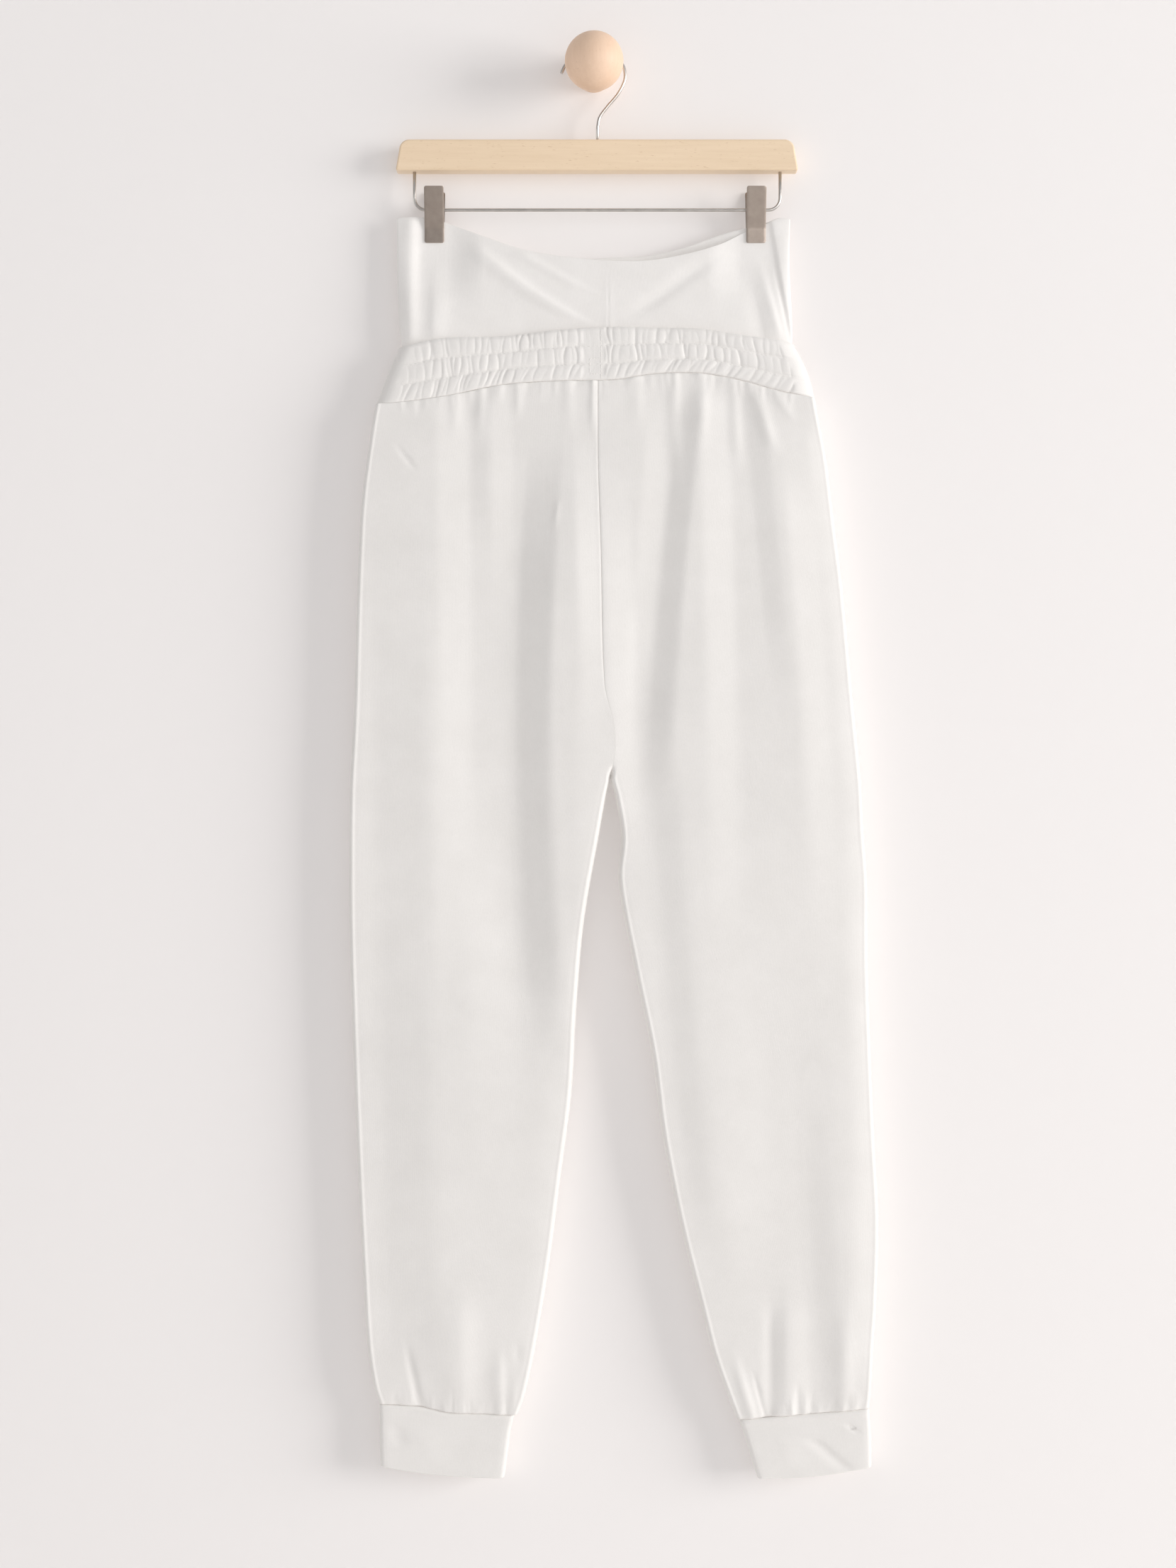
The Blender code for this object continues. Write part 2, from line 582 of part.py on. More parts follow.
def waistband_back(finish):
    """The gathered back of the waistband: waves raised on the outer face over a plain inside."""
    downs = [(k + s) / CASINGS for k in range(CASINGS) for s in CASING_STEPS] + [1.0]
    count = WAVES * POINTS_PER_WAVE
    outer = []
    for down in downs:
        row = []
        for i in range(count + 1):
            across = i / count
            place = band_place(across, down, "back")
            inside = band_inner(across, down, "back", BAND_WALL)
            lift = gather(across, place.x, down)
            row.append(place + (place - inside).normalized() * lift)
        outer.append(row)
    step = POINTS_PER_WAVE
    inner = []
    for down in (0.0, 0.5, 1.0):
        row = [band_inner(i * step / count, down, "back", BAND_WALL) for i in range(count // step + 1)]
        inner.append(row)
    vertices, faces = wall_between(outer, inner, step)
    return mesh_from("back_waistband", vertices, faces, finish)


def waistband_front(finish):
    """The plain front of the waistband, which dips under the belly."""
    count = FRONT_BAND_ACROSS
    spread = [0.5 - 0.5 * math.cos(math.pi * i / count) for i in range(count + 1)]
    outer = [[band_place(a, down, "front") for a in spread] for down in FRONT_BAND_STEPS]
    inner = [[band_inner(a, down, "front", FRONT_BAND_WALL) for a in spread] for down in FRONT_BAND_STEPS]
    vertices, faces = wall_between(outer, inner, 1)
    return mesh_from("front_waistband", vertices, faces, finish)


# Belly panel

def pinch(x, z):
    """1 in a clip's jaws, falling away around and below them."""
    below = ease(1 - (CLIP_BOTTOM - PINCH_MARGIN - z) / PINCH_FADE)
    nearest = min(abs(x - place) for place in CLIP_X.values())
    near = ease(1 - (nearest - CLIP_WIDTH / 2 - PINCH_MARGIN) / PINCH_HALF)
    return near * below


def belly_point(across, down, layer):
    """A point on the outer face of the belly panel's near or far layer."""
    guess = lerp(BELLY_LEVELS[0].left, BELLY_LEVELS[0].right, across)
    top = read(BELLY_TOP, "x", layer, guess)
    foot_x = lerp(BELLY_LEVELS[-1].left, BELLY_LEVELS[-1].right, across)
    edge = "band_low" if layer == "near" else "front_low"
    foot = read(WAIST, "x", edge, foot_x) + BELLY_FOOT_UP
    z = lerp(top, foot, down)
    level = max(z, BELLY_LEVELS[-1].z)
    left = read(BELLY_LEVELS, "z", "left", level)
    right = read(BELLY_LEVELS, "z", "right", level)
    x = lerp(left, right, across)
    depth = read(BELLY_LEVELS, "z", layer, level)
    if layer == "near":
        depth += fold_relief(BELLY_FOLDS, x, z)
    held = PANEL_WALL + HALF_GAP
    depth = lerp(depth, held, pinch(x, z))
    depth = held + (depth - held) * round_off(across, right - left, BELLY_ROUND)
    sign = -1 if layer == "near" else 1
    return (x, HANG_Y + sign * depth, z)


def belly_panel(finish):
    """A tube of thin cloth, sewn up the middle of its back, that hangs from the clips."""
    left, right = BELLY_LEVELS[0].left, BELLY_LEVELS[0].right
    clip_half = CLIP_WIDTH / 2 + PINCH_MARGIN
    left_side = [left + d for d in BELLY_EDGE]
    left_side += [CLIP_X["left"] - clip_half, CLIP_X["left"] + clip_half]
    right_side = [right - d for d in BELLY_EDGE]
    right_side += [CLIP_X["right"] + clip_half, CLIP_X["right"] - clip_half]
    near_left = left_side + [lerp(left_side[-1], BELLY_SEAM_X - HALF_GAP, i / BELLY_EVEN)
                             for i in range(1, BELLY_EVEN + 1)]
    near_right = right_side + [lerp(right_side[-1], BELLY_SEAM_X + HALF_GAP, i / BELLY_EVEN)
                               for i in range(1, BELLY_EVEN + 1)]
    far_even = 2 * BELLY_EVEN - 2
    far = left_side + [lerp(left_side[-1], right_side[-1], i / far_even) for i in range(1, far_even)]
    far += right_side[::-1]
    places = [("near", x) for x in near_left[::-1]] + [("far", x) for x in far]
    places += [("near", x) for x in near_right]
    columns = [(layer, (x - left) / (right - left)) for layer, x in places]
    points = [belly_point(across, down, layer) for down in BELLY_STEPS for layer, across in columns]
    faces = grid_faces(len(BELLY_STEPS), len(columns))
    panel = mesh_from("belly_panel", points, faces, finish)
    return thicken(panel, PANEL_WALL)


# Cuffs

def cuff_ring(side, down):
    """One ring of a cuff, with the same rounded edges as the leg above it."""
    table = CUFFS[side]
    left = read(table, "down", "left", down)
    right = read(table, "down", "right", down)
    z_left = read(table, "down", "z_left", down)
    z_right = read(table, "down", "z_right", down)
    steps = [(step.into * EDGE_ROUND, step.out) for step in EDGE]
    middle = right - left - 2 * EDGE_ROUND
    across = [(d, out) for d, out in steps]
    across += [(EDGE_ROUND + middle * i / CUFF_ACROSS, 1.0) for i in range(CUFF_ACROSS + 1)]
    across += [(right - left - d, out) for d, out in reversed(steps)]
    ring = []
    for layer, depth, row in (("back", CUFF_BACK, across), ("front", CUFF_FRONT, across[-2:0:-1])):
        sign = -1 if layer == "back" else 1
        for d, out in row:
            share = d / (right - left)
            z = lerp(z_left, z_right, share)
            z -= CUFF_SAG * math.sin(math.pi * share) * down
            ring.append((left + d, HANG_Y + sign * depth * out, z))
    return ring


def cuff(side, finish):
    rings = [cuff_ring(side, down) for down in CUFF_STEPS]
    points = [p for ring in rings for p in ring]
    faces = grid_faces(len(rings), len(rings[0]), closed=True)
    tube = mesh_from(f"cuff_{side}", points, faces, finish)
    return thicken(tube, CUFF_WALL)


# Hanger and knob

def wire(name, points, finish):
    """A round wire along its points, as a poly curve with closed ends."""
    data = bpy.data.curves.new(name, "CURVE")
    data.dimensions = "3D"
    data.bevel_depth = WIRE_RADIUS
    data.bevel_resolution = 2
    data.use_fill_caps = True
    spline = data.splines.new("POLY")
    spline.points.add(len(points) - 1)
    for point, place in zip(spline.points, points):
        point.co = (*place, 1.0)
    return add_object(name, data, finish)


def through(route, steps):
    """Points on a smooth curve through the route."""
    points = [Vector(p) for p in route]
    ends = [points[0] * 2 - points[1]] + points + [points[-1] * 2 - points[-2]]
    out = []
    for i in range(1, len(ends) - 2):
        a, b, c, d = ends[i - 1:i + 3]
        for k in range(steps):
            t = k / steps
            out.append(0.5 * (2 * b + (c - a) * t + (2 * a - 5 * b + 4 * c - d) * t * t
                              + (3 * b - a - 3 * c + d) * t ** 3))
    return out + [points[-1]]


# The hook's route in the hanging plane, from the bar's socket over the neck to its tip
RoutePoint = namedtuple("RoutePoint", "x z")
HOOK_ROUTE = (
    RoutePoint(0.0033, -0.0528),
    RoutePoint(0.0053, -0.0436),
    RoutePoint(0.0125, -0.0337),
    RoutePoint(0.0215, -0.0231),
    RoutePoint(0.0274, -0.0125),
    RoutePoint(0.0290, -0.0040),
    RoutePoint(0.0268, 0.0050),
    RoutePoint(0.0200, 0.0122),
    RoutePoint(0.0100, 0.0160),
    RoutePoint(0.0000, NECK_RADIUS + SEAM_GAP + WIRE_RADIUS),
    RoutePoint(-0.0105, 0.0155),
    RoutePoint(-0.0205, 0.0108),
    RoutePoint(-0.0270, 0.0045),
    RoutePoint(-0.0304, -0.0026),
)


def hook(finish):
    foot = (HOOK_ROUTE[0].x, HANG_Y, BAR_TOP - SOCKET_DEPTH + SEAM_GAP)
    bend = through([(p.x, HANG_Y, p.z) for p in HOOK_ROUTE], 3)
    return wire("hanger_hook", [foot] + [tuple(p) for p in bend], finish)


def rail(finish):
    """The wire rail: two uprights in the bar's sockets, round bends and the run between."""
    top = BAR_BOTTOM + SOCKET_DEPTH - SEAM_GAP
    route = [(RAIL_LEFT, HANG_Y, top)]
    for k in range(BEND_STEPS + 1):
        turn = math.pi / 2 * k / BEND_STEPS
        x = RAIL_LEFT + RAIL_BEND * (1 - math.cos(turn))
        route.append((x, HANG_Y, RAIL_Z + RAIL_BEND * (1 - math.sin(turn))))
    for k in range(BEND_STEPS, -1, -1):
        turn = math.pi / 2 * k / BEND_STEPS
        x = RAIL_RIGHT - RAIL_BEND * (1 - math.cos(turn))
        route.append((x, HANG_Y, RAIL_Z + RAIL_BEND * (1 - math.sin(turn))))
    route.append((RAIL_RIGHT, HANG_Y, top))
    return wire("hanger_rail", route, finish)


def arc(centre, radius, start, end, steps):
    turns = [math.radians(lerp(start, end, k / steps)) for k in range(steps + 1)]
    return [(centre[0] + radius * math.cos(t), centre[1] + radius * math.sin(t)) for t in turns]


def bar_outline():
    """The bar's front view: round shoulders, slightly slanted ends and eased foot corners."""
    outline = []
    left_top, right_top = BAR_LEFT + BAR_SLANT, BAR_RIGHT - BAR_SLANT
    outline += arc((left_top + BAR_SHOULDER, BAR_TOP - BAR_SHOULDER), BAR_SHOULDER, 180, 90, 4)
    outline += arc((right_top - BAR_SHOULDER, BAR_TOP - BAR_SHOULDER), BAR_SHOULDER, 90, 0, 4)
    outline += arc((BAR_RIGHT - BAR_CORNER, BAR_BOTTOM + BAR_CORNER), BAR_CORNER, 0, -90, 2)
    outline += arc((BAR_LEFT + BAR_CORNER, BAR_BOTTOM + BAR_CORNER), BAR_CORNER, -90, -180, 2)
    return outline


def socket_cutter(name, x, z_from, z_to):
    """A drill for one wire socket."""
    work = bmesh.new()
    bmesh.ops.create_cone(work, cap_ends=True, segments=SOCKET_SIDES, radius1=SOCKET_RADIUS,
                          radius2=SOCKET_RADIUS, depth=abs(z_to - z_from))
    mesh = bpy.data.meshes.new(name)
    work.to_mesh(mesh)
    work.free()
    cutter = bpy.data.objects.new(name, mesh)
    cutter.location = (x, HANG_Y, (z_from + z_to) / 2)
    cutter.hide_render = True
    cutter.display_type = "WIRE"
    CUTTERS.objects.link(cutter)
    return cutter


def bar(finish):
    """The wooden bar, with its long edges eased and a socket for each wire end."""
    outline = bar_outline()
    count = len(outline)
    front = [(x, HANG_Y - BAR_DEPTH / 2, z) for x, z in outline]
    back = [(x, HANG_Y + BAR_DEPTH / 2, z) for x, z in outline]
    faces = [tuple(range(count)), tuple(range(2 * count - 1, count - 1, -1))]
    faces += [(i, (i + 1) % count, count + (i + 1) % count, count + i) for i in range(count)]
    made = mesh_from("hanger_bar", front + back, faces, finish)
    edge = made.modifiers.new("Eased edges", "BEVEL")
    edge.width = BAR_EASE
    edge.segments = 2
    edge.limit_method = "ANGLE"
    edge.angle_limit = math.radians(60)
    sockets = (
        ("hook_socket", HOOK_ROUTE[0].x, BAR_TOP - SOCKET_DEPTH, BAR_TOP + DRILL_OVER),
        ("left_rail_socket", RAIL_LEFT, BAR_BOTTOM - DRILL_OVER, BAR_BOTTOM + SOCKET_DEPTH),
        ("right_rail_socket", RAIL_RIGHT, BAR_BOTTOM - DRILL_OVER, BAR_BOTTOM + SOCKET_DEPTH),
    )
    for name, x, z_from, z_to in sockets:
        cut = made.modifiers.new(name, "BOOLEAN")
        cut.operation = "DIFFERENCE"
        cut.solver = "EXACT"
        cut.object = socket_cutter(name, x, z_from, z_to)
    return made


def clip_plate(name, middle, layer, finish):
    """A sprung plate: its jaw lies flat on the cloth and its upper part leans away."""
    sign = -1 if layer == "front" else 1
    face = HALF_GAP + PANEL_WALL + SEAM_GAP
    jaw_top = CLIP_BOTTOM + CLIP_JAW
    profile = ((face, CLIP_BOTTOM), (face, jaw_top), (face + CLIP_SPREAD, CLIP_TOP))
    half = CLIP_WIDTH / 2
    points = [(middle + x, HANG_Y + sign * y, z) for y, z in profile for x in (-half, half)]
    made = mesh_from(name, points, grid_faces(len(profile), 2), finish, (0, -sign, 0))
    thicken(made, CLIP_PLATE)
    corner = made.modifiers.new("Round corners", "BEVEL")
    corner.width = CLIP_PLATE / 3
    corner.segments = 1
    corner.limit_method = "ANGLE"
    corner.angle_limit = math.radians(60)
    return made


def turn_solid(piece, segments):
    """Turns a profile into a solid round its own Z axis."""
    turned = piece.modifiers.new("Turned", "SCREW")
    turned.steps = segments
    turned.render_steps = segments
    turned.use_merge_vertices = True
    turned.merge_threshold = 0.0001


def clip_spring(name, middle, finish):
    """The spring barrel round the rail, which holds both plates."""
    jaw_top = CLIP_BOTTOM + CLIP_JAW
    face = HALF_GAP + PANEL_WALL + SEAM_GAP
    share = (RAIL_Z - jaw_top) / (CLIP_TOP - jaw_top)
    lean = math.atan2(CLIP_SPREAD, CLIP_TOP - jaw_top)
    outer = (face + CLIP_SPREAD * share) * math.cos(lean) - SEAM_GAP
    profile = ((SPRING_BORE, SPRING_LENGTH / 2), (outer, SPRING_LENGTH / 2),
               (outer, -SPRING_LENGTH / 2), (SPRING_BORE, -SPRING_LENGTH / 2))
    mesh = bpy.data.meshes.new(name)
    count = len(profile)
    mesh.from_pydata([(r, 0, z) for r, z in profile], [(i, (i + 1) % count) for i in range(count)], [])
    made = add_object(name, mesh, finish)
    turn_solid(made, SPRING_SEGMENTS)
    made.rotation_euler = (0, math.pi / 2, 0)
    made.location = (middle, HANG_Y, RAIL_Z)
    return made


def knob(finish):
    """A turned knob: a ball on a neck, with a flat back against the wall."""
    meet = BALL_OUT - math.sqrt(BALL_RADIUS ** 2 - NECK_RADIUS ** 2)
    start = math.acos((meet - BALL_OUT) / BALL_RADIUS)
    profile = []
    for k in range(BALL_STEPS + 1):
        turn = start * k / BALL_STEPS
        profile.append((BALL_RADIUS * math.sin(turn), BALL_OUT + BALL_RADIUS * math.cos(turn)))
    profile.append((NECK_RADIUS, meet * FLARE_START))
    profile.append((NECK_FLARE, 0.0))
    profile.append((0.0, 0.0))
    mesh = bpy.data.meshes.new("wall_knob")
    mesh.from_pydata([(r, 0, z) for r, z in profile], [(i, i + 1) for i in range(len(profile) - 1)], [])
    made = add_object("wall_knob", mesh, finish)
    turn_solid(made, KNOB_SEGMENTS)
    made.rotation_euler = (math.pi / 2, 0, 0)
    return made


# Scene

for old in list(bpy.data.objects):
    bpy.data.objects.remove(old)
PARTS = bpy.data.collections.new("Sweatpants on a clip hanger")
CUTTERS = bpy.data.collections.new("Cutters")
bpy.context.scene.collection.children.link(PARTS)
bpy.context.scene.collection.children.link(CUTTERS)


def main():
    for side in ("left", "right"):
        for layer in ("back", "front"):
            name = f"{layer}_{side}_leg"
            leg_panel(name, side, layer, material(name, CREAM, 0.95))
        cuff(side, material(f"cuff_{side}", CREAM, 0.92))
    waistband_back(material("back_waistband", CREAM, 0.93))
    waistband_front(material("front_waistband", CREAM, 0.93))
    belly_panel(material("belly_panel", JERSEY, 0.85))
    bar(material("hanger_bar", BEECH, 0.5))
    hook(material("hanger_hook", NICKEL, 0.3, 1.0))
    rail(material("hanger_rail", NICKEL, 0.3, 1.0))
    for side, middle in CLIP_X.items():
        clip_plate(f"clip_{side}_front_jaw", middle, "front", material("front_jaw", NICKEL, 0.35, 1.0))
        clip_plate(f"clip_{side}_back_jaw", middle, "back", material("back_jaw", NICKEL, 0.35, 1.0))
        clip_spring(f"clip_{side}_spring", middle, material("spring", NICKEL, 0.4, 1.0))
    knob(material("wall_knob", KNOB_WOOD, 0.5))


main()
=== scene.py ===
"""Looks of the over-the-belly sweatpants on a clip hanger and wall knob.

The frame is the part's own: metres, Z up, the wall at y = 0 and the viewer on the -Y side.
"Left" and "right" are the viewer's.
"""

import json
import math
from collections import namedtuple

import bpy
import numpy as np
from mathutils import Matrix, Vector

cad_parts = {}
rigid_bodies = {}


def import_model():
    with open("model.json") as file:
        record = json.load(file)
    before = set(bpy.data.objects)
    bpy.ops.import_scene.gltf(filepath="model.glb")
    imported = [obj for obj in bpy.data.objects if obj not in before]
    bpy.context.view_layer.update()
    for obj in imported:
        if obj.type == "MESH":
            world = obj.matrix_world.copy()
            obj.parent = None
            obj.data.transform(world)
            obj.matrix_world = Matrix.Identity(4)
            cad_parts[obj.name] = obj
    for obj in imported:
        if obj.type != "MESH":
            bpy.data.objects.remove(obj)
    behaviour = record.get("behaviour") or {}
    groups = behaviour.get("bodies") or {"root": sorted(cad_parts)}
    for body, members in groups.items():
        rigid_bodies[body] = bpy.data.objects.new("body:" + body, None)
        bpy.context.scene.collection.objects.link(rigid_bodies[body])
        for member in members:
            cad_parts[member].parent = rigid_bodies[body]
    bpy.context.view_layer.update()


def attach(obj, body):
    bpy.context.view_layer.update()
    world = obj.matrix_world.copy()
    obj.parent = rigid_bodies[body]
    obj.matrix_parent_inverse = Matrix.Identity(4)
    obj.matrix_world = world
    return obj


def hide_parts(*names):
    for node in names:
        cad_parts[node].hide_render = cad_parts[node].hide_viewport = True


for old in list(bpy.data.objects):
    bpy.data.objects.remove(old)
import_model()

# Sizes shared with the solids
HANG_Y = -0.014
SEAM_GAP = 0.0003
HALF_GAP = SEAM_GAP / 2
CROTCH_Z = -0.6587
CROTCH_X = 0.0152
CROTCH_TURN = 0.014
HEM_BEND = 1.6
PANEL_WALL = 0.0014
STRIP_LEFT = -0.0090
STRIP_RIGHT = 0.0085
STRIP_SOFT = 0.004
RAIL_Z = -0.1300
RAIL_LEFT = -0.1672
RAIL_RIGHT = 0.1733
RAIL_BEND = 0.011
WIRE_RADIUS = 0.0015
BAR_LEFT = -0.1840
BAR_RIGHT = 0.1894
BAR_TOP = -0.0659
BAR_BOTTOM = -0.0925
BAR_DEPTH = 0.016
CLIP_X = {"left": -0.1485, "right": 0.1507}
CLIP_WIDTH = 0.0182
CLIP_TOP = -0.1104
CLIP_BOTTOM = -0.1610
CLIP_JAW = 0.013
CLIP_PLATE = 0.0010
CLIP_SPREAD = 0.0105
PINCH_MARGIN = 0.0030
PINCH_HALF = 0.034
PINCH_FADE = 0.075
NECK_RADIUS = 0.0150
NECK_FLARE = 0.0165
BALL_RADIUS = 0.0270
BALL_OUT = 0.0430

# Edges, welts and the calm ends of the band, which are set for the looks and not by the solids
EDGE_ROUND = 0.0085
EDGE_WELT = {"faces_left": 0.0011, "faces_right": 0.0006}
WELT_IN = 0.0030
WELT_HALF = 0.0024
BAND_ROUND = 0.020
BAND_ROUND_LEFT = 0.012
BAND_WALL = 0.0035
BELLY_ROUND = 0.026
BELLY_HALF = 0.184
CUFF_WALL = 0.0026
LEFT_CALM = 0.040
RIGHT_CALM = 0.020

# The rounded lips where a piece turns in at its seams
LIP = 0.0026
LIP_DEPTH = 0.0016
CENTRE_LIP = 0.0007
SEAM_TOUCH = 0.00006
LipPoint = namedtuple("LipPoint", "x depth")
WAIST_LIPS = (
    LipPoint(-0.20, 0.0004),
    LipPoint(-0.145, 0.0005),
    LipPoint(-0.10, 0.0009),
    LipPoint(0.03, 0.0010),
    LipPoint(0.08, 0.0013),
    LipPoint(0.20, 0.0012),
)

# Half of the garment at each height
Level = namedtuple("Level", "z side inseam back front")
LEFT_LEVELS = (
    Level(-0.3060, -0.2030, CROTCH_X, 0.0160, 0.0088),
    Level(-0.3310, -0.2072, CROTCH_X, 0.0165, 0.0090),
    Level(-0.3970, -0.2158, CROTCH_X, 0.0160, 0.0090),
    Level(-0.4760, -0.2198, CROTCH_X, 0.0158, 0.0090),
    Level(-0.5950, -0.2231, CROTCH_X, 0.0155, 0.0088),
    Level(CROTCH_Z, -0.2264, CROTCH_X, 0.0150, 0.0085),
    Level(-0.6740, -0.2270, 0.0119, 0.0150, 0.0085),
    Level(-0.7134, -0.2275, 0.0046, 0.0150, 0.0085),
    Level(-0.7926, -0.2273, -0.0092, 0.0148, 0.0085),
    Level(-0.8720, -0.2251, -0.0162, 0.0145, 0.0085),
    Level(-0.9510, -0.2224, -0.0208, 0.0142, 0.0085),
    Level(-1.0302, -0.2191, -0.0310, 0.0140, 0.0085),
    Level(-1.1094, -0.2152, -0.0416, 0.0142, 0.0088),
    Level(-1.1886, -0.2105, -0.0554, 0.0148, 0.0092),
    Level(-1.2260, -0.2050, -0.0640, 0.0140, 0.0090),
    Level(-1.2440, -0.1995, -0.0705, 0.0118, 0.0086),
)
RIGHT_LEVELS = (
    Level(-0.2980, 0.2050, CROTCH_X, 0.0160, 0.0088),
    Level(-0.3108, 0.2072, CROTCH_X, 0.0165, 0.0090),
    Level(-0.3570, 0.2158, CROTCH_X, 0.0163, 0.0090),
    Level(-0.4230, 0.2237, CROTCH_X, 0.0160, 0.0090),
    Level(-0.4760, 0.2303, CROTCH_X, 0.0158, 0.0090),
    Level(-0.5880, 0.2405, CROTCH_X, 0.0155, 0.0088),
    Level(CROTCH_Z, 0.2475, CROTCH_X, 0.0150, 0.0085),
    Level(-0.6740, 0.2485, 0.0191, 0.0150, 0.0085),
    Level(-0.7134, 0.2505, 0.0251, 0.0150, 0.0085),
    Level(-0.7530, 0.2534, 0.0222, 0.0150, 0.0085),
    Level(-0.8322, 0.2541, 0.0365, 0.0148, 0.0085),
    Level(-0.9114, 0.2567, 0.0528, 0.0145, 0.0085),
    Level(-0.9906, 0.2600, 0.0634, 0.0142, 0.0085),
    Level(-1.0698, 0.2640, 0.0792, 0.0142, 0.0086),
    Level(-1.1490, 0.2620, 0.0997, 0.0145, 0.0090),
    Level(-1.1886, 0.2594, 0.1102, 0.0148, 0.0092),
    Level(-1.2282, 0.2574, 0.1245, 0.0140, 0.0090),
    Level(-1.2480, 0.2555, 0.1320, 0.0118, 0.0086),
)
SeamPoint = namedtuple("SeamPoint", "z x")
CENTRE_SEAM = (
    SeamPoint(-0.2900, 0.0036),
    SeamPoint(-0.3570, 0.0036),
    SeamPoint(-0.4500, 0.0063),
    SeamPoint(-0.5720, 0.0096),
    SeamPoint(-0.6080, 0.0178),
    SeamPoint(-0.6340, 0.0191),
    SeamPoint(CROTCH_Z, CROTCH_X),
)
WaistPoint = namedtuple("WaistPoint", "x band_top band_low front_top front_low")
WAIST = (
    WaistPoint(-0.2045, -0.2615, -0.3125, -0.2640, -0.3125),
    WaistPoint(-0.1790, -0.2595, -0.3110, -0.2700, -0.3150),
    WaistPoint(-0.1390, -0.2515, -0.3056, -0.2800, -0.3230),
    WaistPoint(-0.0850, -0.2500, -0.2950, -0.2900, -0.3340),
    WaistPoint(-0.0337, -0.2442, -0.2915, -0.2950, -0.3390),
    WaistPoint(0.0220, -0.2409, -0.2900, -0.2955, -0.3395),
    WaistPoint(0.0541, -0.2420, -0.2851, -0.2940, -0.3375),
    WaistPoint(0.0983, -0.2429, -0.2844, -0.2880, -0.3310),
    WaistPoint(0.1340, -0.2482, -0.2905, -0.2790, -0.3210),
    WaistPoint(0.1723, -0.2534, -0.3010, -0.2660, -0.3110),
    WaistPoint(0.2045, -0.2600, -0.3065, -0.2610, -0.3065),
)
BandSide = namedtuple("BandSide", "down left right")
BAND_SIDES = (
    BandSide(0.0, -0.1818, 0.1868),
    BandSide(0.3, -0.1888, 0.1950),
    BandSide(0.6, -0.1952, 0.2010),
    BandSide(1.0, -0.2024, 0.2056),
)
BAND_DEPTH = {"back": (0.0150, 0.0160), "front": (0.0082, 0.0088)}
TopPoint = namedtuple("TopPoint", "x near far")
BELLY_TOP = (
    TopPoint(-0.1840, -0.1385, -0.1385),
    TopPoint(-0.1600, -0.1379, -0.1382),
    TopPoint(-0.1366, -0.1432, -0.1440),
    TopPoint(-0.1016, -0.1564, -0.1575),
    TopPoint(-0.0614, -0.1696, -0.1700),
    TopPoint(-0.0132, -0.1769, -0.1756),
    TopPoint(0.0185, -0.1789, -0.1738),
    TopPoint(0.0488, -0.1789, -0.1729),
    TopPoint(0.0865, -0.1725, -0.1643),
    TopPoint(0.1168, -0.1635, -0.1538),
    TopPoint(0.1399, -0.1518, -0.1478),
    TopPoint(0.1610, -0.1432, -0.1425),
    TopPoint(0.1723, -0.1386, -0.1390),
    TopPoint(0.1830, -0.1393, -0.1393),
)
BellyLevel = namedtuple("BellyLevel", "z left right near far")
BELLY_LEVELS = (
    BellyLevel(-0.1380, -0.1836, 0.1826, 0.0040, 0.0036),
    BellyLevel(-0.1800, -0.1834, 0.1818, 0.0075, 0.0050),
    BellyLevel(-0.2150, -0.1826, 0.1834, 0.0082, 0.0052),
    BellyLevel(-0.2450, -0.1808, 0.1846, 0.0080, 0.0052),
    BellyLevel(-0.2620, -0.1782, 0.1838, 0.0085, 0.0048),
    BellyLevel(-0.2850, -0.1815, 0.1835, 0.0118, 0.0048),
)
BELLY_SEAM_X = 0.0132
CuffLevel = namedtuple("CuffLevel", "down left right z_left z_right")
CUFFS = {
    "left": (
        CuffLevel(0.00, -0.1995, -0.0735, -1.2440, -1.2500),
        CuffLevel(0.25, -0.1993, -0.0770, -1.2560, -1.2640),
        CuffLevel(0.60, -0.1990, -0.0800, -1.2740, -1.2860),
        CuffLevel(1.00, -0.1984, -0.0832, -1.2972, -1.3081),
    ),
    "right": (
        CuffLevel(0.00, 0.1345, 0.2555, -1.2540, -1.2440),
        CuffLevel(0.25, 0.1390, 0.2565, -1.2680, -1.2560),
        CuffLevel(0.60, 0.1450, 0.2575, -1.2880, -1.2740),
        CuffLevel(1.00, 0.1515, 0.2578, -1.3085, -1.2981),
    ),
}
CUFF_RISE = {"left": 0.0042, "right": 0.0}
CUFF_WELT = {"left": 0.0002, "right": 0.0007}
CUFF_BACK = 0.0118
CUFF_FRONT = 0.0086
CUFF_SAG = 0.0030
EdgeStep = namedtuple("EdgeStep", "at into out")
EDGE_STEPS = (
    EdgeStep(0.0, 0.0, 0.0),
    EdgeStep(0.2, 0.0, 0.44),
    EdgeStep(0.4, 0.12, 0.80),
    EdgeStep(0.6, 0.38, 0.95),
    EdgeStep(0.8, 0.75, 0.99),
    EdgeStep(1.0, 1.0, 1.0),
)
EDGE_COUNT = 26

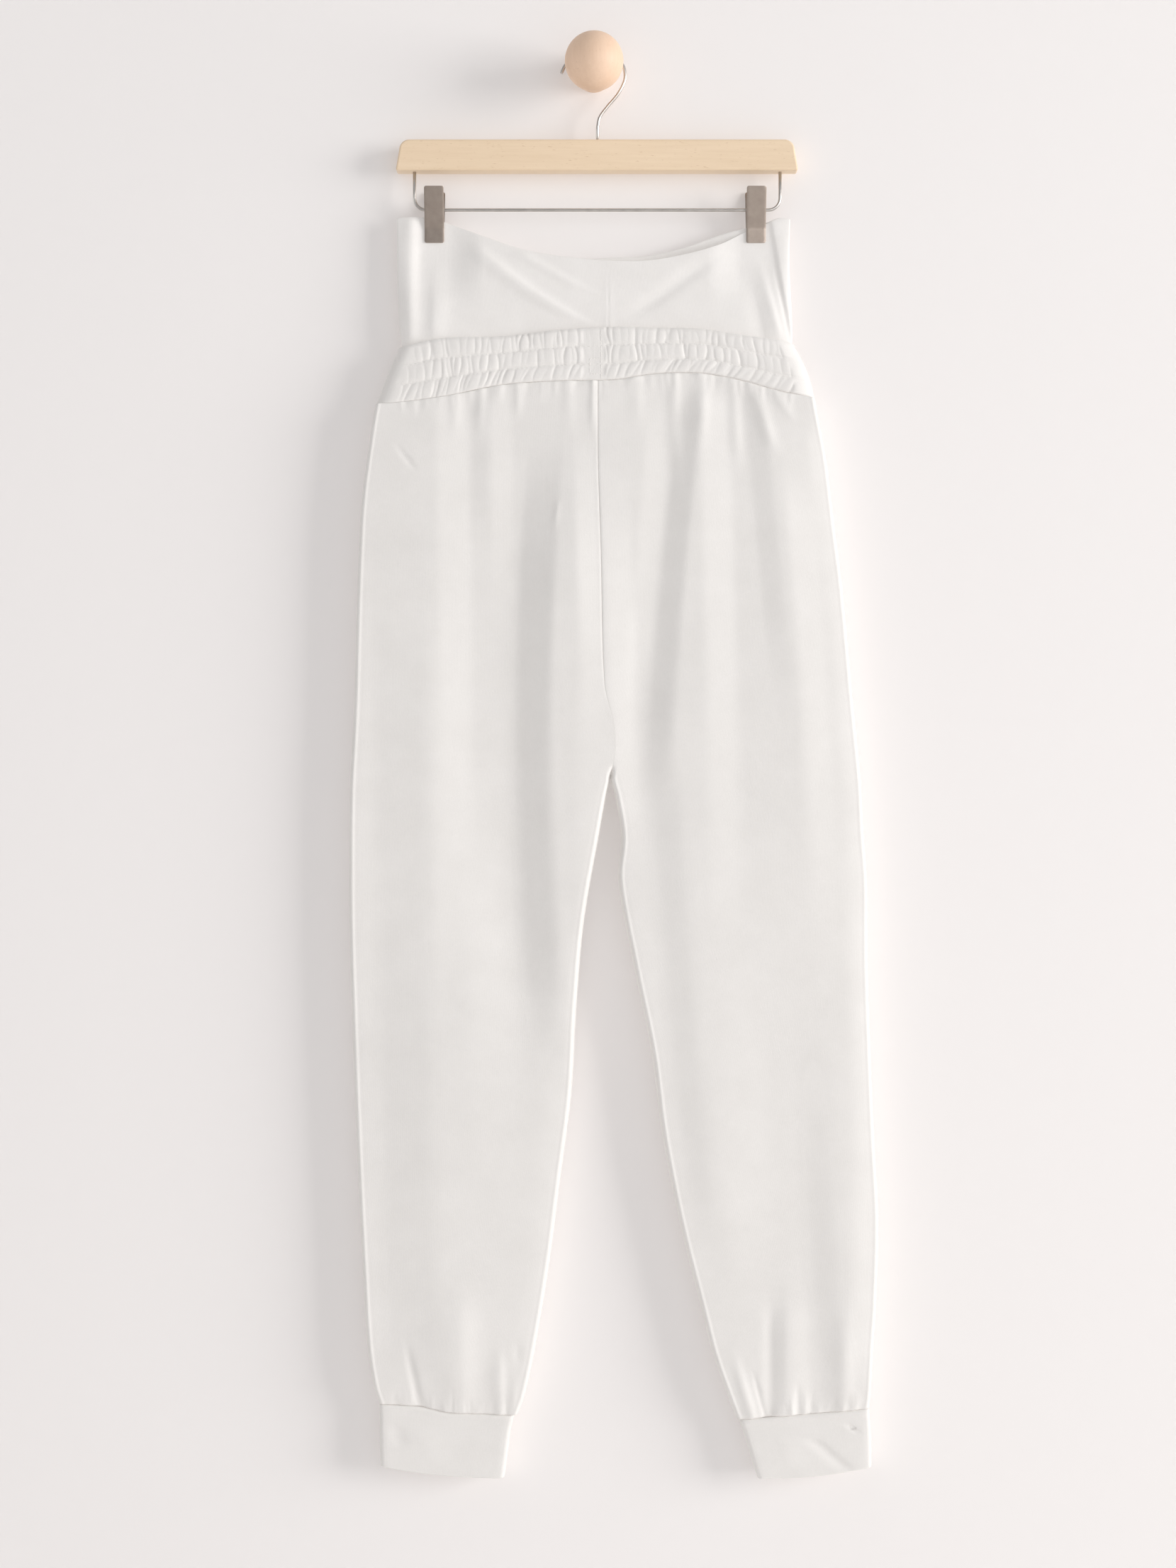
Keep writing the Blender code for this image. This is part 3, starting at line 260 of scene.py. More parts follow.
# The long folds of the back. Each flank tilts to one side along a line from its top to
# its foot, and its slope is positive where the cloth faces right.
Flank = namedtuple("Flank", "name z_top x_top z_foot x_foot bow slope half fade_top fade_foot")
LONG_FLANKS = {
    "left": (
        Flank("outer", -0.380, -0.1830, -1.240, -0.1680, 0, -0.13, 0.024, 0.25, 0.06),
        Flank("hip", -0.290, -0.1320, -0.900, -0.1330, 0.004, 0.13, 0.015, 0.03, 0.30),
        Flank("hip hollow", -0.295, -0.1060, -0.480, -0.1050, 0, -0.10, 0.008, 0.03, 0.12),
        Flank("waist", -0.295, -0.0860, -0.560, -0.0830, 0, 0.11, 0.010, 0.03, 0.16),
        Flank("knee", -0.640, -0.1000, -1.060, -0.0900, 0, 0.08, 0.020, 0.16, 0.20),
        Flank("great hollow", -0.310, -0.0410, -0.970, -0.0350, -0.018, -0.41, 0.016, 0.18, 0.20),
        Flank("shelf", -0.330, -0.0260, -0.900, -0.0200, -0.002, -0.08, 0.010, 0.10, 0.20),
        Flank("inner", -0.300, -0.0120, -0.650, 0.0020, 0, 0.18, 0.010, 0.14, 0.20),
        Flank("low inner", -0.760, -0.0180, -1.250, -0.0640, 0.004, 0.08, 0.010, 0.12, 0.04),
    ),
    "right": (
        Flank("inner", -0.360, 0.0190, -0.760, 0.0320, 0, 0.19, 0.013, 0.14, 0.10),
        Flank("upper", -0.300, 0.0620, -0.640, 0.0300, 0.004, 0.11, 0.012, 0.06, 0.12),
        Flank("great hollow", -0.285, 0.0930, -0.700, 0.0560, -0.004, -0.31, 0.011, 0.05, 0.10),
        Flank("low hollow", -0.600, 0.0620, -1.180, 0.1150, -0.006, -0.17, 0.014, 0.12, 0.18),
        Flank("main", -0.290, 0.1110, -0.880, 0.1250, 0, 0.15, 0.014, 0.03, 0.28),
        Flank("side hollow", -0.285, 0.1440, -0.680, 0.1800, 0.002, -0.17, 0.010, 0.03, 0.24),
        Flank("calf", -0.760, 0.1320, -1.180, 0.1500, 0, 0.05, 0.018, 0.20, 0.14),
        Flank("low side hollow", -0.800, 0.1950, -1.255, 0.2220, 0, -0.17, 0.014, 0.30, 0.03),
        Flank("outer", -0.330, 0.1840, -0.880, 0.2200, 0.004, 0.18, 0.014, 0.10, 0.28),
        Flank("rim", -0.310, 0.2030, -1.250, 0.2480, 0.020, 0.20, 0.010, 0.06, 0.08),
    ),
}
FOLD_EDGE_TOP = 0.0100
FOLD_EDGE_LOW = 0.0220
CENTRE_RISE = 0.0060

# Short folds: each runs from its top to its foot; its two flanks have widths of their own
Fold = namedtuple("Fold", "name z_top x_top z_foot x_foot bow height left right fade_top fade_foot")
SHORT_FOLDS = (
    Fold("left hip tuck", -0.286, -0.1270, -0.350, -0.1290, 0, 0.0011, 0.005, 0.005, 0.004, 0.04),
    Fold("left waist tuck", -0.286, -0.1040, -0.350, -0.1060, 0, 0.0010, 0.0045, 0.004, 0.004, 0.04),
    Fold("left second tuck", -0.286, -0.0905, -0.320, -0.0910, 0, 0.0010, 0.0055, 0.006, 0.004, 0.02),
    Fold("left third tuck", -0.286, -0.0700, -0.330, -0.0710, 0, 0.0010, 0.004, 0.004, 0.004, 0.02),
    Fold("left fourth tuck", -0.284, -0.0500, -0.316, -0.0500, 0, 0.0008, 0.005, 0.004, 0.004, 0.02),
    Fold("left centre tuck", -0.284, -0.0240, -0.350, -0.0235, 0, 0.0008, 0.006, 0.006, 0.004, 0.04),
    Fold("seam tuck", -0.284, -0.0015, -0.350, -0.0010, 0, 0.0011, 0.0035, 0.003, 0.003, 0.04),
    Fold("right seam tuck", -0.284, 0.0390, -0.340, 0.0400, 0, 0.0009, 0.007, 0.006, 0.004, 0.03),
    Fold("right tuck", -0.282, 0.0745, -0.390, 0.0750, 0, 0.0016, 0.0065, 0.006, 0.003, 0.05),
    Fold("right main tuck", -0.282, 0.1005, -0.360, 0.1000, 0, 0.0014, 0.009, 0.006, 0.003, 0.05),
    Fold("right second tuck", -0.282, 0.1295, -0.385, 0.1315, 0, 0.0013, 0.006, 0.006, 0.003, 0.05),
    Fold("right slanted ridge", -0.290, 0.1450, -0.366, 0.1680, 0, 0.0018, 0.0075, 0.006, 0.004, 0.03),
    Fold("right short ridge", -0.292, 0.1620, -0.334, 0.1860, 0, 0.0014, 0.006, 0.006, 0.004, 0.02),
    Fold("hip crease", -0.344, -0.1880, -0.378, -0.1620, 0, -0.0010, 0.003, 0.0025, 0.02, 0.012),
    Fold("thigh crease", -0.400, -0.0330, -0.436, -0.0370, 0, 0.0007, 0.0025, 0.0025, 0.012, 0.02),
    Fold("left hem crease", -1.172, -0.1755, -1.256, -0.1580, 0, -0.0015, 0.004, 0.004, 0.04, 0.004),
    Fold("left hem ridge", -1.110, -0.1250, -1.256, -0.1240, 0, 0.0027, 0.018, 0.014, 0.06, 0.004),
    Fold("left hem tuck", -1.180, -0.0880, -1.256, -0.0870, 0, 0.0015, 0.008, 0.005, 0.03, 0.004),
    Fold("left inner hem ridge", -1.205, -0.0735, -1.256, -0.0755, 0, 0.0007, 0.004, 0.004, 0.03, 0.004),
    Fold("left inner dent", -1.175, -0.0710, -1.208, -0.0700, 0, -0.0008, 0.004, 0.004, 0.02, 0.02),
    Fold("right hem wedge", -1.180, 0.1250, -1.262, 0.1500, 0, 0.0020, 0.006, 0.005, 0.05, 0.004),
    Fold("right hem trough", -1.130, 0.1630, -1.262, 0.1640, 0, -0.0012, 0.006, 0.005, 0.05, 0.004),
    Fold("right hem ridge", -1.115, 0.1800, -1.260, 0.1795, 0, 0.0024, 0.009, 0.017, 0.06, 0.004),
    Fold("right hem crease", -1.215, 0.1885, -1.260, 0.1890, 0, -0.0010, 0.003, 0.003, 0.02, 0.004),
    Fold("right thin hem crease", -1.204, 0.1460, -1.258, 0.1600, 0, -0.0009, 0.0022, 0.0026, 0.02, 0.004),
    Fold("right outer hem ridge", -1.130, 0.2310, -1.258, 0.2310, 0, 0.0016, 0.010, 0.008, 0.07, 0.004),
    Fold("right outer hem tuck", -1.222, 0.2430, -1.256, 0.2420, 0, 0.0009, 0.004, 0.004, 0.02, 0.004),
)
FRONT_FOLDS = (
    Fold("left front trough", -0.320, -0.0900, -0.860, -0.0800, -0.012, -0.0034, 0.020, 0.020, 0.08, 0.25),
    Fold("left front ridge", -0.340, -0.1400, -1.150, -0.1300, -0.006, 0.0016, 0.030, 0.030, 0.10, 0.20),
    Fold("left front hollow", -0.900, -0.1500, -1.235, -0.1450, 0.004, -0.0024, 0.016, 0.016, 0.12, 0.04),
    Fold("right front trough", -0.320, 0.0850, -0.900, 0.0950, -0.014, -0.0038, 0.018, 0.018, 0.08, 0.25),
    Fold("right front ridge", -0.330, 0.1500, -1.100, 0.1850, 0.010, 0.0016, 0.028, 0.028, 0.10, 0.20),
    Fold("right front hollow", -0.880, 0.2000, -1.235, 0.1900, 0.006, -0.0026, 0.016, 0.016, 0.12, 0.04),
)
BELLY_FOLDS = (
    Fold("long drag, left clip", -0.156, -0.1190, -0.246, 0.0080, -0.012, 0.0026, 0.014, 0.009, 0.03, 0.03),
    Fold("short drag, left clip", -0.166, -0.0760, -0.214, 0.0080, -0.004, 0.0013, 0.010, 0.008, 0.01, 0.02),
    Fold("drag, right clip", -0.164, 0.1220, -0.242, 0.0180, 0.004, -0.0015, 0.014, 0.011, 0.03, 0.03),
    Fold("left side fold", -0.160, -0.1460, -0.262, -0.1480, 0, 0.0018, 0.0065, 0.012, 0.03, 0.02),
    Fold("right side fold", -0.160, 0.1480, -0.258, 0.1750, 0, 0.0014, 0.005, 0.0035, 0.02, 0.02),
    Fold("right side crease", -0.139, 0.1590, -0.262, 0.1850, 0, -0.0016, 0.0022, 0.0022, 0.01, 0.02),
    Fold("right side hollow", -0.170, 0.1380, -0.262, 0.1600, 0, -0.0014, 0.010, 0.006, 0.03, 0.02),
)
CLIP_FOLDS = (
    Fold("left stripe", -0.134, -0.1705, -0.266, -0.1725, 0, 0.0030, 0.009, 0.0075, 0.008, 0.02),
    Fold("right rim fold", -0.136, 0.1655, -0.266, 0.1880, 0, 0.0018, 0.0030, 0.012, 0.008, 0.02),
)
CUFF_FOLDS = (
    Fold("right cuff drag", -1.266, 0.1960, -1.306, 0.2420, 0, -0.0016, 0.009, 0.007, 0.012, 0.010),
    Fold("right cuff dent", -1.256, 0.2330, -1.268, 0.2470, 0, -0.0012, 0.004, 0.004, 0.004, 0.005),
    Fold("right cuff swell", -1.262, 0.1700, -1.306, 0.1820, 0, 0.0008, 0.014, 0.014, 0.015, 0.012),
    Fold("left cuff swell", -1.256, -0.1650, -1.300, -0.1500, 0, 0.0008, 0.018, 0.018, 0.015, 0.012),
    Fold("left cuff dent", -1.255, -0.1850, -1.282, -0.1780, 0, -0.0010, 0.008, 0.008, 0.010, 0.010),
)


# Shared helpers

def lerp(a, b, share):
    return a + (b - a) * share


def ease(share):
    share = np.clip(share, 0.0, 1.0)
    return share * share * (3 - 2 * share)


def read(table, key, column, at):
    """The table's column at each place, along a smooth curve through its rows."""
    rows = sorted(table, key=lambda row: getattr(row, key))
    keys = np.array([getattr(row, key) for row in rows], float)
    values = np.array([getattr(row, column) for row in rows], float)
    slopes = np.empty_like(values)
    slopes[0] = (values[1] - values[0]) / (keys[1] - keys[0])
    slopes[-1] = (values[-1] - values[-2]) / (keys[-1] - keys[-2])
    slopes[1:-1] = (values[2:] - values[:-2]) / (keys[2:] - keys[:-2])
    at = np.clip(at, keys[0], keys[-1])
    i = np.clip(np.searchsorted(keys, at, side="right") - 1, 0, len(keys) - 2)
    span = keys[i + 1] - keys[i]
    t = (at - keys[i]) / span
    t2, t3 = t * t, t ** 3
    return (values[i] * (2 * t3 - 3 * t2 + 1) + values[i + 1] * (3 * t2 - 2 * t3)
            + slopes[i] * span * (t3 - 2 * t2 + t) + slopes[i + 1] * span * (t3 - t2))


def fold_line(fold, z):
    """The x of the fold's line at each height, and how far the fold has risen there."""
    along = (fold.z_top - z) / (fold.z_top - fold.z_foot)
    middle = lerp(fold.x_top, fold.x_foot, along) + 4 * fold.bow * along * (1 - along)
    rise = ease((fold.z_top - z) / fold.fade_top) * ease((z - fold.z_foot) / fold.fade_foot)
    return middle, rise


def relief(folds, x, z):
    """How far the short folds lift the cloth at each place."""
    lift = np.zeros(np.broadcast(x, z).shape)
    for fold in folds:
        middle, rise = fold_line(fold, z)
        flank = np.where(x < middle, fold.left, fold.right)
        lift += fold.height * rise * np.exp(-(((x - middle) / flank) ** 2))
    return lift


def long_folds(side, x, z):
    """The lift that the long flanks add up to across the panel, level with it at both edges."""
    blend = lerp(FOLD_EDGE_TOP, FOLD_EDGE_LOW, ease((-0.40 - z) / 0.4))
    slope = np.zeros(np.broadcast(x, z).shape)
    for flank in LONG_FLANKS[side]:
        middle, rise = fold_line(flank, z)
        slope += flank.slope * rise * ease((flank.half - abs(x - middle)) / blend + 0.5)
    between = (slope[:, 1:] + slope[:, :-1]) / 2
    lift = np.cumsum(-between * np.diff(x, axis=1), axis=1)
    lift = np.concatenate([np.zeros_like(x[:, :1]), lift], axis=1)
    share = (x - x[:, :1]) / (x[:, -1:] - x[:, :1])
    lift = lift - lift[:, -1:] * share
    return lift + CENTRE_RISE * ease((-0.30 - z) / 0.12) * ease((z + 1.20) / 0.5) * (1 - abs(share))


def pucker_folds(seed, count, x_range, z_of_x, direction, length, height, width):
    """Uneven small gathers that run out of a seam, down from it or up from it."""
    chance = np.random.default_rng(seed)
    folds = []
    for i in range(count):
        x = lerp(*x_range, (i + chance.uniform(0.1, 0.9)) / count)
        reach = chance.uniform(*length)
        tall = chance.uniform(*height) * chance.choice((-1, 1))
        half = chance.uniform(*width)
        start = float(z_of_x(x)) - direction * 0.003
        end = start + direction * reach
        lean = chance.uniform(-0.1, 0.1) * reach
        seam_end, free_end, fades = (start, x), (end, x + lean), (0.002, reach * 0.7)
        if direction > 0:
            seam_end, free_end, fades = free_end, seam_end, fades[::-1]
        folds.append(Fold(f"pucker {i}", *seam_end, *free_end, 0, tall, half, half, *fades))
    return folds


def lip(distance, depth=LIP_DEPTH):
    """How far the cloth has turned in at a distance from its seam."""
    near = np.clip(distance / LIP, 0, 1)
    return depth * (1 - np.sqrt(1 - (1 - near) ** 2))


def waist_lip(x):
    """The waist seam's depth, which is slight at the left end."""
    return np.interp(x, [lip_at.x for lip_at in WAIST_LIPS], [lip_at.depth for lip_at in WAIST_LIPS])


def cloth(name, grid, finish, closed=False, outward=None):
    """A smooth cloth surface from a grid of points, with its real lengths as its UV map."""
    rows, columns = grid.shape[:2]
    index = np.arange(rows * columns).reshape(rows, columns)
    if closed:
        index = np.concatenate([index, index[:, :1]], axis=1)
    quads = np.stack([index[:-1, :-1], index[:-1, 1:], index[1:, 1:], index[1:, :-1]], axis=-1).reshape(-1, 4)
    points = grid.reshape(-1, 3)
    if outward is not None:
        a, b, c = points[quads[:, 0]], points[quads[:, 1]], points[quads[:, 3]]
        total = np.cross(b - a, c - a).sum(axis=0)
        if total @ np.array(outward) < 0:
            quads = quads[:, ::-1]
    mesh = bpy.data.meshes.new(name)
    mesh.vertices.add(len(points))
    mesh.vertices.foreach_set("co", points.astype(np.float32).ravel())
    mesh.loops.add(quads.size)
    mesh.loops.foreach_set("vertex_index", quads.astype(np.int32).ravel())
    mesh.polygons.add(len(quads))
    mesh.polygons.foreach_set("loop_start", np.arange(0, quads.size, 4, dtype=np.int32))
    mesh.update(calc_edges=True)
    along = np.linalg.norm(np.diff(grid, axis=1), axis=2).mean(axis=0)
    down = np.linalg.norm(np.diff(grid, axis=0), axis=2).mean(axis=1)
    u = np.concatenate([[0], np.cumsum(along)])
    v = np.concatenate([[0], np.cumsum(down)])
    flat = np.stack(np.meshgrid(u, v), axis=-1).reshape(-1, 2)
    layer = mesh.uv_layers.new(name="cloth")
    layer.data.foreach_set("uv", flat[quads.ravel()].astype(np.float32).ravel())
    mesh.shade_smooth()
    return piece(name, mesh, finish)


def add_object(name, data):
    made = bpy.data.objects.new(name, data)
    bpy.context.scene.collection.objects.link(made)
    return made


def piece(name, mesh, finish, replaced=()):
    mesh.materials.append(finish)
    made = add_object(name, mesh)
    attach(made, "root")
    if replaced:
        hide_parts(*replaced)
    return made


def ring_faces(base, rings, around):
    """Faces between one ring of points and the next."""
    faces = []
    for i in range(rings - 1):
        for k in range(around):
            a = base + i * around + k
            b = base + i * around + (k + 1) % around
            faces.append((a, b, b + around, a + around))
    return faces


def ring_ends(base, rings, around):
    """The two faces that close a run of rings."""
    last = base + (rings - 1) * around
    return [tuple(base + k for k in range(around))[::-1], tuple(last + k for k in range(around))]


def mesh_of(name, points, faces):
    mesh = bpy.data.meshes.new(name)
    mesh.from_pydata([tuple(p) for p in points], [], faces)
    mesh.shade_smooth()
    return mesh


def normals_of(grid, closed=False):
    """Unit normals of a grid of points."""
    if closed:
        across = np.roll(grid, -1, axis=1) - np.roll(grid, 1, axis=1)
    else:
        across = np.gradient(grid, axis=1)
    down = np.gradient(grid, axis=0)
    normal = np.cross(across, down)
    return normal / np.maximum(np.linalg.norm(normal, axis=2, keepdims=True), 1e-12)


# Materials

def shader_of(name, roughness, specular=0.5, metallic=0.0, sheen=0.0, sheen_roughness=0.5):
    made = bpy.data.materials.new(name)
    made.use_nodes = True
    tree = made.node_tree
    shader = tree.nodes["Principled BSDF"]
    shader.inputs["Roughness"].default_value = roughness
    shader.inputs["Specular IOR Level"].default_value = specular
    shader.inputs["Metallic"].default_value = metallic
    shader.inputs["Sheen Weight"].default_value = sheen
    shader.inputs["Sheen Roughness"].default_value = sheen_roughness
    return made, tree, shader


def node(tree, kind, **values):
    made = tree.nodes.new(kind)
    for key, value in values.items():
        if key in made.inputs:
            made.inputs[key].default_value = value
        else:
            setattr(made, key, value)
    return made


def noise(tree, source, scale, detail=2.0, roughness=0.5, stretch=(1, 1, 1)):
    place = node(tree, "ShaderNodeMapping")
    place.inputs["Scale"].default_value = stretch
    tree.links.new(source, place.inputs["Vector"])
    made = node(tree, "ShaderNodeTexNoise", Scale=scale, Detail=detail, Roughness=roughness)
    tree.links.new(place.outputs["Vector"], made.inputs["Vector"])
    return made.outputs["Fac"]


def math_node(tree, operation, first, second=None):
    made = node(tree, "ShaderNodeMath", operation=operation)
    for socket, value in zip(made.inputs, (first, second)):
        if value is None:
            continue
        if isinstance(value, (int, float)):
            socket.default_value = value
        else:
            tree.links.new(value, socket)
    return made.outputs[0]


def ramp(tree, source, stops):
    made = node(tree, "ShaderNodeValToRGB")
    band = made.color_ramp
    while len(band.elements) < len(stops):
        band.elements.new(0.5)
    for element, (place, colour) in zip(band.elements, stops):
        element.position = place
        element.color = (*colour, 1.0)
    tree.links.new(source, made.inputs["Fac"])
    return made.outputs["Color"]


def mix_colours(tree, factor, first, second):
    made = node(tree, "ShaderNodeMix", data_type="RGBA")
    tree.links.new(factor, made.inputs["Factor"])
    for socket, value in ((made.inputs["A"], first), (made.inputs["B"], second)):
        if isinstance(value, tuple):
            socket.default_value = (*value, 1.0)
        else:
            tree.links.new(value, socket)
    return made.outputs["Result"]


def bump(tree, shader, heights):
    """Chains the bumps, each a height and the distance that it stands for."""
    last = None
    for height, distance, strength in heights:
        made = node(tree, "ShaderNodeBump", Strength=strength, Distance=distance)
        tree.links.new(height, made.inputs["Height"])
        if last is not None:
            tree.links.new(last, made.inputs["Normal"])
        last = made.outputs["Normal"]
    tree.links.new(last, shader.inputs["Normal"])


def knit_height(tree, wale, course):
    """Small V loops of a knit in rows, from the cloth's own lengths."""
    uv = node(tree, "ShaderNodeUVMap", uv_map="cloth").outputs["UV"]
    parts = node(tree, "ShaderNodeSeparateXYZ")
    tree.links.new(uv, parts.inputs[0])
    u = math_node(tree, "MULTIPLY", parts.outputs["X"], 1 / wale)
    v = math_node(tree, "MULTIPLY", parts.outputs["Y"], 1 / course)
    slope = math_node(tree, "PINGPONG", u, 0.5)
    shifted = math_node(tree, "ADD", v, slope)
    ribs = math_node(tree, "SINE", math_node(tree, "MULTIPLY", u, 2 * math.pi))
    loops = math_node(tree, "SINE", math_node(tree, "MULTIPLY", shifted, 2 * math.pi))
    return math_node(tree, "ADD", ribs, math_node(tree, "MULTIPLY", loops, 0.6))


def sweat_cloth(name, light, dark, wale=0.0011, course=0.0008, nap=1.0):
    """Brushed sweat fabric: a fine knit face under a short soft nap."""
    made, tree, shader = shader_of(name, 0.95, specular=0.25, sheen=0.75, sheen_roughness=0.35)
    shader.inputs["Sheen Tint"].default_value = (1.0, 0.98, 0.95, 1.0)
    place = node(tree, "ShaderNodeTexCoord").outputs["Object"]
    clouds = noise(tree, place, 28, detail=4, roughness=0.6)
    fibres = noise(tree, place, 900, detail=3, roughness=0.7, stretch=(1, 1, 0.45))
    lint = noise(tree, place, 2600, detail=2, roughness=0.6)
    tone = math_node(tree, "ADD", math_node(tree, "MULTIPLY", clouds, 0.6),
                     math_node(tree, "MULTIPLY", fibres, 0.4))
    tree.links.new(ramp(tree, tone, ((0.32, dark), (0.68, light))), shader.inputs["Base Color"])
    knit = knit_height(tree, wale, course)
    bump(tree, shader, ((knit, 0.00005, 0.22), (fibres, 0.00022, 0.35 * nap), (lint, 0.00010, 0.3 * nap)))
    return made


def jersey_cloth(name, light, dark):
    """Thin smooth jersey with fine wales."""
    made, tree, shader = shader_of(name, 0.85, specular=0.3, sheen=0.18, sheen_roughness=0.4)
    place = node(tree, "ShaderNodeTexCoord").outputs["Object"]
    clouds = noise(tree, place, 40, detail=4, roughness=0.6)
    yarn = noise(tree, place, 1400, detail=2, roughness=0.6, stretch=(1, 1, 0.2))
    tone = math_node(tree, "ADD", math_node(tree, "MULTIPLY", clouds, 0.55),
                     math_node(tree, "MULTIPLY", yarn, 0.45))
    tree.links.new(ramp(tree, tone, ((0.35, dark), (0.65, light))), shader.inputs["Base Color"])
    bump(tree, shader, ((knit_height(tree, 0.0008, 0.0006), 0.00004, 0.3), (yarn, 0.00008, 0.25)))
    return made


def thread(name, colour):
    made, tree, shader = shader_of(name, 0.75, specular=0.35, sheen=0.2)
    place = node(tree, "ShaderNodeTexCoord").outputs["Object"]
    twist = noise(tree, place, 3000, detail=2, roughness=0.6, stretch=(1, 1, 1))
    dark = tuple(c * 0.93 for c in colour)
    tree.links.new(ramp(tree, twist, ((0.35, dark), (0.65, colour))), shader.inputs["Base Color"])
    bump(tree, shader, ((twist, 0.0001, 0.4),))
    return made


def wood(name, light, dark, fleck, grain_axis, roughness, coat=0.15):
    """Pale beech: fine streaks along the grain, with short darker flecks."""
    made, tree, shader = shader_of(name, roughness, specular=0.4)
    shader.inputs["Coat Weight"].default_value = coat
    shader.inputs["Coat Roughness"].default_value = 0.35
    place = node(tree, "ShaderNodeTexCoord").outputs["Object"]
    along = {"x": (0.06, 1, 1), "z": (1, 1, 0.06), "y": (1, 0.06, 1)}[grain_axis]
    fleck_along = {"x": (0.16, 1, 1), "z": (1, 1, 0.16), "y": (1, 0.16, 1)}[grain_axis]
    streaks = noise(tree, place, 420, detail=5, roughness=0.65, stretch=along)
    broad = noise(tree, place, 60, detail=3, roughness=0.5, stretch=along)
    spots = noise(tree, place, 1300, detail=1, roughness=0.4, stretch=fleck_along)
    tone = math_node(tree, "ADD", math_node(tree, "MULTIPLY", streaks, 0.5),
                     math_node(tree, "MULTIPLY", broad, 0.5))
    base = ramp(tree, tone, ((0.30, dark), (0.70, light)))
    mask = ramp(tree, spots, ((0.70, (0, 0, 0)), (0.78, (0.42, 0.42, 0.42))))
    split = node(tree, "ShaderNodeSeparateColor")
    tree.links.new(mask, split.inputs[0])
    tree.links.new(mix_colours(tree, split.outputs[0], base, fleck), shader.inputs["Base Color"])
    bump(tree, shader, ((streaks, 0.00012, 0.25), (spots, 0.00006, 0.2)))
    return made


def metal(name, light, dark, roughness, stretch):
    """Satin nickel with fine brushing."""
    made, tree, shader = shader_of(name, roughness, metallic=1.0)
    place = node(tree, "ShaderNodeTexCoord").outputs["Object"]
    brushing = noise(tree, place, 2400, detail=3, roughness=0.7, stretch=stretch)
    clouds = noise(tree, place, 120, detail=3, roughness=0.6)
    tree.links.new(ramp(tree, clouds, ((0.3, dark), (0.7, light))), shader.inputs["Base Color"])
    rough = math_node(tree, "ADD", math_node(tree, "MULTIPLY", brushing, 0.16), roughness - 0.08)
    tree.links.new(rough, shader.inputs["Roughness"])
    bump(tree, shader, ((brushing, 0.00003, 0.3),))
    return made


CREAM_LIGHT = (0.798, 0.772, 0.747)
CREAM_DARK = (0.755, 0.729, 0.703)
SWEAT = sweat_cloth("sweat cloth", CREAM_LIGHT, CREAM_DARK)
CUFF = sweat_cloth("cuff cloth", CREAM_LIGHT, CREAM_DARK, wale=0.0012, course=0.0009, nap=0.8)
JERSEY = jersey_cloth("jersey", (0.828, 0.801, 0.776), (0.790, 0.762, 0.737))
THREAD = thread("sewing thread", (0.805, 0.779, 0.752))
BAR_WOOD = wood("bar beech", (0.840, 0.668, 0.482), (0.760, 0.582, 0.402), (0.50, 0.30, 0.16), "x", 0.45)
KNOB_WOOD = wood("knob beech", (0.805, 0.588, 0.436), (0.740, 0.520, 0.372), (0.52, 0.31, 0.19), "z", 0.55,
                 coat=0.03)
WIRE = metal("wire nickel", (0.62, 0.59, 0.56), (0.52, 0.49, 0.46), 0.30, (1, 1, 1))
CLIP = metal("clip nickel", (0.43, 0.36, 0.31), (0.38, 0.315, 0.27), 0.34, (0.15, 1, 1))


# Leg panels

def edge_curve(share):
    """The rounded edge of a flattened tube: share of its width in, and of its depth out."""
    into = np.maximum(0.0, read(EDGE_STEPS, "at", "into", share))
    return into, np.clip(read(EDGE_STEPS, "at", "out", share), 0.0, 1.0)


def inner_turn(z):
    above = np.clip((z - CROTCH_Z) / CROTCH_TURN, 0, 1)
    return 1 - np.sqrt(1 - (1 - above) ** 2)


def cuff_seam(side, x):
    """The height of the seam between leg and cuff; the left one is raised at its outer end."""
    cuff = CUFFS[side][0]
    across = np.clip((x - cuff.left) / (cuff.right - cuff.left), 0, 1)
    return lerp(cuff.z_left, cuff.z_right, across) + CUFF_RISE[side] * ease((0.55 - across) / 0.30)


